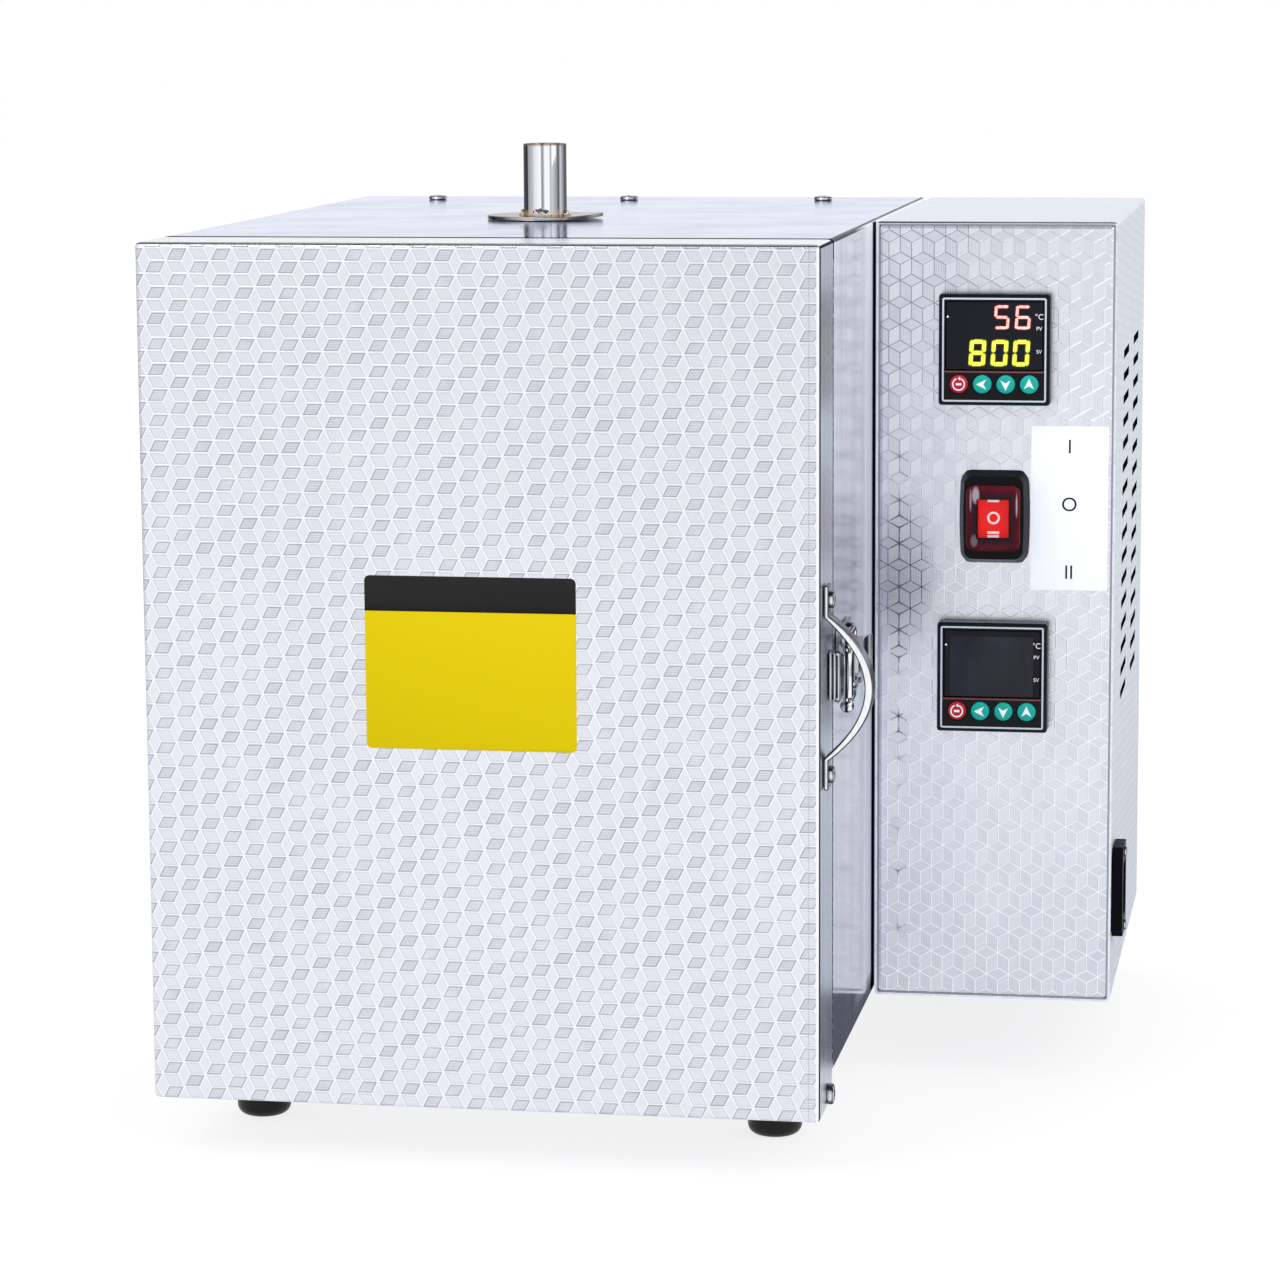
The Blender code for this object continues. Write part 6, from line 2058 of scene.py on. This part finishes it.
        self.screws("screw_handle", places, RIGHT, (3.6 * MM, 1.8 * MM), "door", "handle_steel")


@dataclass(frozen=True)
class ControlBox(Assembly):
    """Control box with its controllers, switch, sticker, vents, inlet and relay."""

    sticker_low: Triple = (156.8 * MM, -24.0 * MM, 218.6 * MM)
    sticker_high: Triple = (190.05 * MM, -24.0 * MM, 290.0 * MM)
    marks: tuple[tuple[str, float], ...] = (("I", 281.0 * MM), ("O", 255.8 * MM), ("II", 226.2 * MM))
    mark_size: float = 8.6 * MM
    seam_reach: float = 0.25 * MM
    inlet_screw: float = 3.6 * MM
    shade_sheet_gap: float = 1.3 * MM
    baffle_low: Pair = (30.0 * MM, 150.0 * MM)
    shade_sheet_high: Pair = (160.0 * MM, 328.0 * MM)

    def build(self) -> None:
        """Dresses the control box."""
        made = self.finishes
        for finish, edge, node in (
            (made.wrap, 0.0, "control_box_shell"), (made.smooth, 0.4 * MM, "control_box_back"),
            (made.contact, 0.3 * MM, "inlet_contacts"), (made.relay, 0.8 * MM, "solid_state_relay"),
            (made.panel, 0.0, "control_panel"), (made.inlet, 0.5 * MM, "power_inlet"),
        ):
            Bench.coat(finish, edge, node)
        self.sticker()
        # Painted shade: a black ribbed sheet behind the vents.
        self.shade_sheet()
        # Painted shade: a grey frame just behind the panel's edges, for the shaded gap round it.
        low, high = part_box("control_panel")
        edge = self.seam_reach
        seam = Bench.block("panel_seam", (low.x - edge, low.y + 0.35 * MM, low.z - edge),
                           (high.x + edge, low.y + 0.8 * MM, high.z + edge))
        Bench.dress(Bench.hollow(seam, 0.6 * MM), made.seam, "furnace", "panel_steel")
        low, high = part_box("power_inlet")
        places = [(high.x - 0.2 * MM, (low.y + high.y) / 2, z)
                  for z in (low.z + self.inlet_screw, high.z - self.inlet_screw)]
        self.screws("screw_inlet", places, RIGHT, (2.6 * MM, 1.0 * MM), "furnace", "inlet_plastic")
        Controller(made, "upper", "56", "800").build()
        Controller(made, "lower").build()
        RockerSwitch(made).build()

    def sticker(self) -> None:
        """White sticker beside the switch, with the marks of its three positions."""
        (x0, y, z0), (x1, _, z1) = self.sticker_low, self.sticker_high
        front = y - 0.15 * MM
        sheet = Bench.card("switch_sticker", (x0, front, z0), (x1, y - 0.02 * MM, z1), 0.8 * MM, 0.03 * MM)
        Bench.dress(sheet, self.finishes.sticker, "furnace", "controller_plastic")
        for mark, z in self.marks:
            piece = Bench.letters(f"sticker_mark_{mark}", mark, self.mark_size, ((x0 + x1) / 2, front, z))
            Bench.dress(piece, self.finishes.ink, "furnace", "controller_plastic")

    def shade_sheet(self) -> None:
        """Dark ribbed sheet behind the vents, painted shade that stands for the dark inside of the box."""
        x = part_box("control_box_shell")[1].x - self.shade_sheet_gap
        sheet = Bench.block("vent_baffle", (x - 0.4 * MM, *self.baffle_low), (x, *self.shade_sheet_high))
        Bench.edit(sheet, faces=lambda at, normal: normal.x > 0.9)
        bpy.ops.mesh.subdivide(number_cuts=9)
        bpy.ops.mesh.inset(thickness=1.2 * MM, depth=-0.1 * MM, use_individual=True)
        Bench.done()
        Bench.dress(sheet, self.finishes.shade_sheet, "furnace", "box_steel")


@dataclass(frozen=True)
class Digit:
    """Seven-segment figure of a display."""

    width: float
    height: float
    bar: float
    lean: float = 0.06
    proud: float = 0.06 * MM

    SHAPES: ClassVar[dict[str, str]] = {"0": "abcdef", "5": "acdfg", "6": "acdefg", "8": "abcdefg"}

    def build(self, name: str, figure: str, corner: Vector, spill: float = 0.0) -> Piece:
        """Builds the lit bars of one figure.

        Args:
            name: name of the piece.
            figure: the figure to show.
            corner: its lower left corner on the window.
            spill: how far the bars grow on each side, for the glow behind them.

        Returns:
            The joined bars.
        """
        level, left, right = self.height / 2, self.bar / 2, self.width - self.bar / 2
        spans = {"a": (self.width / 2, self.height - left, 0), "g": (self.width / 2, level, 0),
                 "d": (self.width / 2, left, 0), "f": (left, 1.5 * level, 1), "b": (right, 1.5 * level, 1),
                 "e": (left, 0.5 * level, 1), "c": (right, 0.5 * level, 1)}
        bars = []
        for letter in self.SHAPES[figure]:
            x, z, upright = spans[letter]
            long = ((level if upright else self.width - self.bar) - self.bar * 0.30) / 2 + spill
            thick = self.bar / 2 + spill
            made = Bench.block("bar", (-long, -self.proud, -thick), (long, 0.0, thick))
            Bench.corners(made, thick * 0.92, 3 if spill else 1)
            turn = Matrix.Rotation(upright * math.pi / 2, 4, "Y")
            made.data.transform(Matrix.Translation((x, 0.0, z)) @ turn)
            bars.append(made)
        piece = Bench.join(name, bars)
        shear = Matrix.Identity(4)
        shear[0][2] = self.lean
        piece.data.transform(Matrix.Translation(corner) @ shear)
        return piece


@dataclass(frozen=True)
class Controller(Assembly):
    """Panel controller with its window, figures, marks and buttons."""

    word: str
    upper_figures: str = ""
    lower_figures: str = ""
    margin: float = 1.6 * MM
    spill: float = 0.34 * MM
    glass_low: Pair = (5.7 * MM, 15.8 * MM)
    glass_high: Pair = (41.8 * MM, 42.0 * MM)
    dome: tuple[Pair, ...] = ((0.0, 0.0), (0.5, 0.03 * MM), (0.78, 0.1 * MM), (0.93, 0.32 * MM),
                              (0.99, 0.7 * MM), (1.0, 1.1 * MM))
    arrow: tuple[Pair, ...] = ((0.0, 0.66), (0.54, -0.46), (0.0, -0.14), (-0.54, -0.46))
    tip: tuple[Pair, ...] = ((-0.10, 0.62), (0.16, 0.84), (0.16, 0.40))
    bar: tuple[Pair, ...] = ((-0.3, -0.12), (0.3, -0.12), (0.3, 0.12), (-0.3, 0.12))

    def build(self) -> None:
        """Dresses one controller."""
        word, made = self.word, self.finishes
        Bench.coat(made.black, 0.3 * MM, "controller_case_" + word)
        Bench.coat(made.window, 0.2 * MM, "display_window_" + word)
        low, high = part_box("controller_case_" + word)
        window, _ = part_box("display_window_" + word)
        self.lines(low, high, window.z)
        self.side_marks(window.y, high)
        if self.upper_figures:
            self.figures(window.y)
        else:
            (x0, z0), (x1, z1) = self.glass_low, self.glass_high
            glass = Bench.card("display_glass_" + word, (low.x + x0, window.y - 0.04 * MM, low.z + z0),
                               (low.x + x1, window.y + 0.1 * MM, low.z + z1), 0.6 * MM, 0.02 * MM)
            Bench.dress(glass, made.glass, "furnace", "display_acrylic")
        for label in ("set", "left", "down", "up"):
            self.button(label)

    def side_marks(self, face: float, high: Vector) -> None:
        """Small unit marks at the window's right, and the dot at its left.

        Args:
            face: Y of the window's face.
            high: highest corner of the case.
        """
        for name, text, size, drop in (("degrees", "°C", 3.4, 9.8), ("pv", "PV", 2.3, 14.8),
                                       ("sv", "SV", 2.3, 24.7)):
            piece = Bench.letters(f"controller_{name}_{self.word}", text, size * MM,
                                  (high.x - 4.75 * MM, face, high.z - drop * MM))
            Bench.dress(piece, self.finishes.white, "furnace", "display_acrylic")
        dot = Bench.turned("controller_dot_" + self.word, (high.x - 44.1 * MM, face, high.z - 9.8 * MM),
                           [(0.0, -0.1 * MM), (0.3 * MM, -0.08 * MM), (0.45 * MM, 0.0)], 16, REAR)
        Bench.dress(dot, self.finishes.white, "furnace", "display_acrylic")

    def lines(self, low: Vector, high: Vector, under: float) -> None:
        """Pale line round the face and the red line under the window.

        Args:
            low: lowest corner of the case.
            high: highest corner of the case.
            under: height of the window's lower edge.
        """
        edge, front, back = self.margin, low.y - 0.06 * MM, low.y + 0.2 * MM
        line = Bench.block("controller_line_" + self.word, (low.x + edge, front, low.z + edge),
                           (high.x - edge, back, high.z - edge))
        Bench.hollow(Bench.corners(line, 0.9 * MM, 3), 0.75 * MM)
        Bench.dress(line, self.finishes.frame_line, "furnace", "controller_plastic")
        edge += 1.0 * MM
        red = Bench.card("controller_red_line_" + self.word,
                         (low.x + edge, low.y - 0.05 * MM, under - 1.3 * MM),
                         (high.x - edge, back, under - 0.65 * MM), 0.1 * MM, 0.01 * MM)
        Bench.dress(red, self.finishes.red_line, "furnace", "controller_plastic")

    def figures(self, face: float) -> None:
        """Lit figures of the display, each with the glow round it.

        Args:
            face: Y of the window's face.
        """
        made = self.finishes
        for digit, figures, places, height, row, glow, halo in (
            (Digit(6.5 * MM, 10.2 * MM, 1.15 * MM), self.upper_figures, (140.8, 149.9), 332.5, "pv",
             made.red_glow, made.red_halo),
            (Digit(7.0 * MM, 11.3 * MM, 1.65 * MM), self.lower_figures, (130.1, 139.6, 148.9), 316.6, "sv",
             made.lime_glow, made.lime_halo),
        ):
            for index, (figure, x) in enumerate(zip(figures, places)):
                for word, finish, proud, spill in (("figure", glow, 0.05 * MM, 0.0),
                                                   ("glow", halo, 0.0, self.spill)):
                    corner = Vector((x * MM, face - proud, height * MM))
                    piece = digit.build(f"{word}_{row}_{index}", figure, corner, spill)
                    Bench.dress(piece, finish, "furnace", "display_acrylic")

    def button(self, label: str) -> None:
        """One round push button, slightly domed, with its mark.

        Args:
            label: set, left, down or up.
        """
        node = f"button_{label}_{self.word}"
        low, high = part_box(node)
        middle, radius, depth = (low + high) / 2, (high.x - low.x) / 2, high.y - low.y
        profile = [(radius * share, height) for share, height in (*self.dome, (1.0, depth), (0.0, depth))]
        cap = Bench.turned(node + "_cap", (middle.x, low.y, middle.z), profile, 48, REAR)
        slot = "red_button" if label == "set" else "teal_button"
        Bench.dress(cap, getattr(self.finishes, slot), node, slot, node)
        place = (middle.x, low.y + 0.02 * MM, middle.z)
        mark, *more = (Bench.cutout(node + "_mark", [(x * radius, z * radius) for x, z in outline], place)
                       for outline in self.outlines(label))
        if more:
            mark = Bench.join(node + "_mark", [mark, *more])
        Bench.dress(mark, self.finishes.white, node, "controller_plastic")

    def outlines(self, label: str) -> tuple[Iterable[Pair], ...]:
        """Outlines of a button's mark, in shares of its radius.

        Args:
            label: set, left, down or up.

        Returns:
            A ring with its tip and a bar for set, else an arrow.
        """
        if label == "set":
            turns = range(70, -260, -11)
            outer, inner = ([on_circle(reach, turn) for turn in turns] for reach in (0.70, 0.56))
            return outer + inner[::-1], self.tip, self.bar
        level, up = on_circle(1.0, {"up": 0, "left": 90, "down": 180}[label])
        return ([(x * level - z * up, x * up + z * level) for x, z in self.arrow],)


@dataclass(frozen=True)
class RockerSwitch(Assembly):
    """Three-way rocker, lit from inside, under a clear red cover."""

    bulge: float = 0.8 * MM
    edge: float = 1.0 * MM
    cover_wall: float = 0.55 * MM
    cover_corner: float = 3.6 * MM
    cover_dome: float = 2.2 * MM
    bar: Pair = (5.0 * MM, 1.05 * MM)
    ring: Pair = (2.75 * MM, 1.85 * MM)

    def build(self) -> None:
        """Dresses the switch."""
        self.housing()
        self.cover()
        Bench.coat(self.finishes.rocker, 0.4 * MM, "switch_rocker")
        low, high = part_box("switch_rocker")
        middle, half = ((low.x + high.x) / 2, low.y - 1.0 * MM, (low.z + high.z) / 2), (high.z - low.z) / 2
        wide, tall = self.bar[0] / 2, self.bar[1] / 2
        across = (-wide, -wide / 3, wide / 3, wide)
        for name, z in (("one", half - 1.15 * MM), ("two_upper", 2.35 * MM - half),
                        ("two_lower", 0.75 * MM - half)):
            outline = [(x, z - tall) for x in across] + [(x, z + tall) for x in reversed(across)]
            self.mark(Bench.cutout("rocker_mark_" + name, outline, middle))
        outer, inner = self.ring
        ring = Bench.rod("rocker_mark_ring", middle, outer, 0.1 * MM, 48, -math.pi / 2)
        self.mark(Bench.hollow(ring, outer - inner))

    def mark(self, piece: Piece) -> None:
        """Presses a flat mark onto the rocker's curved face."""
        Bench.dress(Bench.lay(piece, "switch_rocker"), self.finishes.white, "switch_rocker", "rocker_plastic")

    def housing(self) -> None:
        """Housing from its solid, with bulging sides and soft edges."""
        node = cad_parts["switch_housing"]
        low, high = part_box("switch_housing")
        middle, half = (low + high) / 2, (high - low) / 2
        body = node.copy()
        body.data = node.data.copy()
        bpy.context.scene.collection.objects.link(body)
        body.name = body.data.name = "switch_bezel"
        body.hide_render = False
        Bench.outward(body)
        Bench.edit(body)
        bpy.ops.mesh.dissolve_limited(angle_limit=math.radians(1))
        for share in (-0.75, -0.5, -0.25, 0.0, 0.25, 0.5, 0.75):
            bpy.ops.mesh.select_all(action="SELECT")
            bpy.ops.mesh.bisect(plane_co=(0.0, 0.0, middle.z + share * half.z), plane_no=UP)
        Bench.edit(body, edges=lambda at, way: at.y < low.y + 0.1 * MM and (
            abs(at.x - middle.x) > half.x * 0.92 or abs(at.z - middle.z) > half.z * 0.94))
        bpy.ops.mesh.bevel(offset=self.edge, segments=3, affect="EDGES")
        Bench.done()
        for vert in body.data.vertices:
            up, side = (vert.co.z - middle.z) / half.z, (vert.co.x - middle.x) / half.x
            if abs(side) > 0.85:
                vert.co.x -= math.copysign(self.bulge * up ** 2, side)
        Bench.smooth(body, 35.0)
        Bench.dress(body, self.finishes.switch, "furnace", "switch_plastic", "switch_housing")

    def cover(self) -> None:
        """Clear cover: a thin domed shell with round corners and a hem."""
        low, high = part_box("switch_cover")
        shell = Bench.corners(Bench.block("switch_cover_dome", low, high), self.cover_corner, 8)
        Bench.edit(shell, faces=lambda at, normal: normal.y > 0.9)
        bpy.ops.mesh.delete(type="FACE")
        Bench.edit(shell, edges=lambda at, way: at.y < low.y + 0.1 * MM and abs(way.y) < 0.1)
        bpy.ops.mesh.bevel(offset=self.cover_dome, segments=6, affect="EDGES")
        Bench.done()
        Bench.modify(Bench.outward(shell), "SOLIDIFY", thickness=self.cover_wall, offset=-1.0)
        Bench.dress(Bench.smooth(shell, 40.0), self.finishes.cover, "furnace", "cover_silicone", "switch_cover")


@dataclass(frozen=True)
class Chamber(Assembly):
    """Fibre boards, coiled heating wires, terminals and the probe."""

    runs: int = 8
    strand: float = 0.45 * MM
    turn_pitch: float = 2.4 * MM
    turn_points: int = 10
    bend_steps: int = 12
    rear_gap: float = 12.0 * MM

    def build(self) -> None:
        """Dresses the chamber."""
        Bench.coat(self.finishes.fibre, 0.0, "fibre_floor", "fibre_roof", "fibre_left_wall", "fibre_right_wall",
                   "fibre_back_wall")
        Bench.coat(self.finishes.porcelain, 0.6 * MM, "element_terminals_left", "element_terminals_right",
                   "thermocouple_head")
        Bench.coat(self.finishes.bright, 0.0, "thermocouple")
        for word in ("left", "right"):
            self.coil("heating_element_" + word)

    def coil(self, node: str) -> None:
        """Wire wound into a long coil that lies in the wall's groove.

        Args:
            node: name of the plain wire that it stands for.
        """
        low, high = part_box(node)
        radius, x, tail = (high.x - low.x) / 2, (low.x + high.x) / 2, high.y
        bottom, top = low.z + radius, high.z - radius
        pitch = (top - bottom) / (self.runs - 1)
        front, rear = low.y + radius + pitch / 2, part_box("fibre_back_wall")[0].y - self.rear_gap - pitch / 2
        route = [Vector((x, tail, bottom))]
        for run in range(self.runs - 1):
            y, side, z = rear if run % 2 else front, 1 if run % 2 else -1, bottom + (run + 0.5) * pitch
            bends = [on_circle(pitch / 2, 180 * step / self.bend_steps - 90)
                     for step in range(self.bend_steps + 1)]
            route += [Vector((x, y + side * reach, z + up)) for reach, up in bends]
        route.append(Vector((x, tail, top)))
        points, travelled, wound = [], 0.0, radius - self.strand
        for before, after in zip(route, route[1:]):
            length, aside = (after - before).length, RIGHT.cross((after - before).normalized())
            parts = max(1, round(length / (self.turn_pitch / self.turn_points)))
            for part in range(parts):
                out, up = on_circle(wound, (travelled + length * part / parts) / self.turn_pitch * 360)
                points.append(tuple(before.lerp(after, part / parts) + out * aside + up * RIGHT))
            travelled += length
        coil = Bench.wire(node + "_coil", points, self.strand, sides=0)
        Bench.dress(coil, self.finishes.alloy, "furnace", "element_alloy", node)


def main() -> None:
    """Builds the studio and dresses each sub-assembly in turn."""
    logging.basicConfig(level=logging.INFO, format="%(name)s: %(message)s")
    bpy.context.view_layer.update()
    Studio().build()
    finishes = Finishes.build()
    for part in (Casing, Chamber, Chimney, Door, Hardware, ControlBox):
        part(finishes).build()
        LOG.info("%s done", part.__name__)


if __name__ == "__main__":
    main()
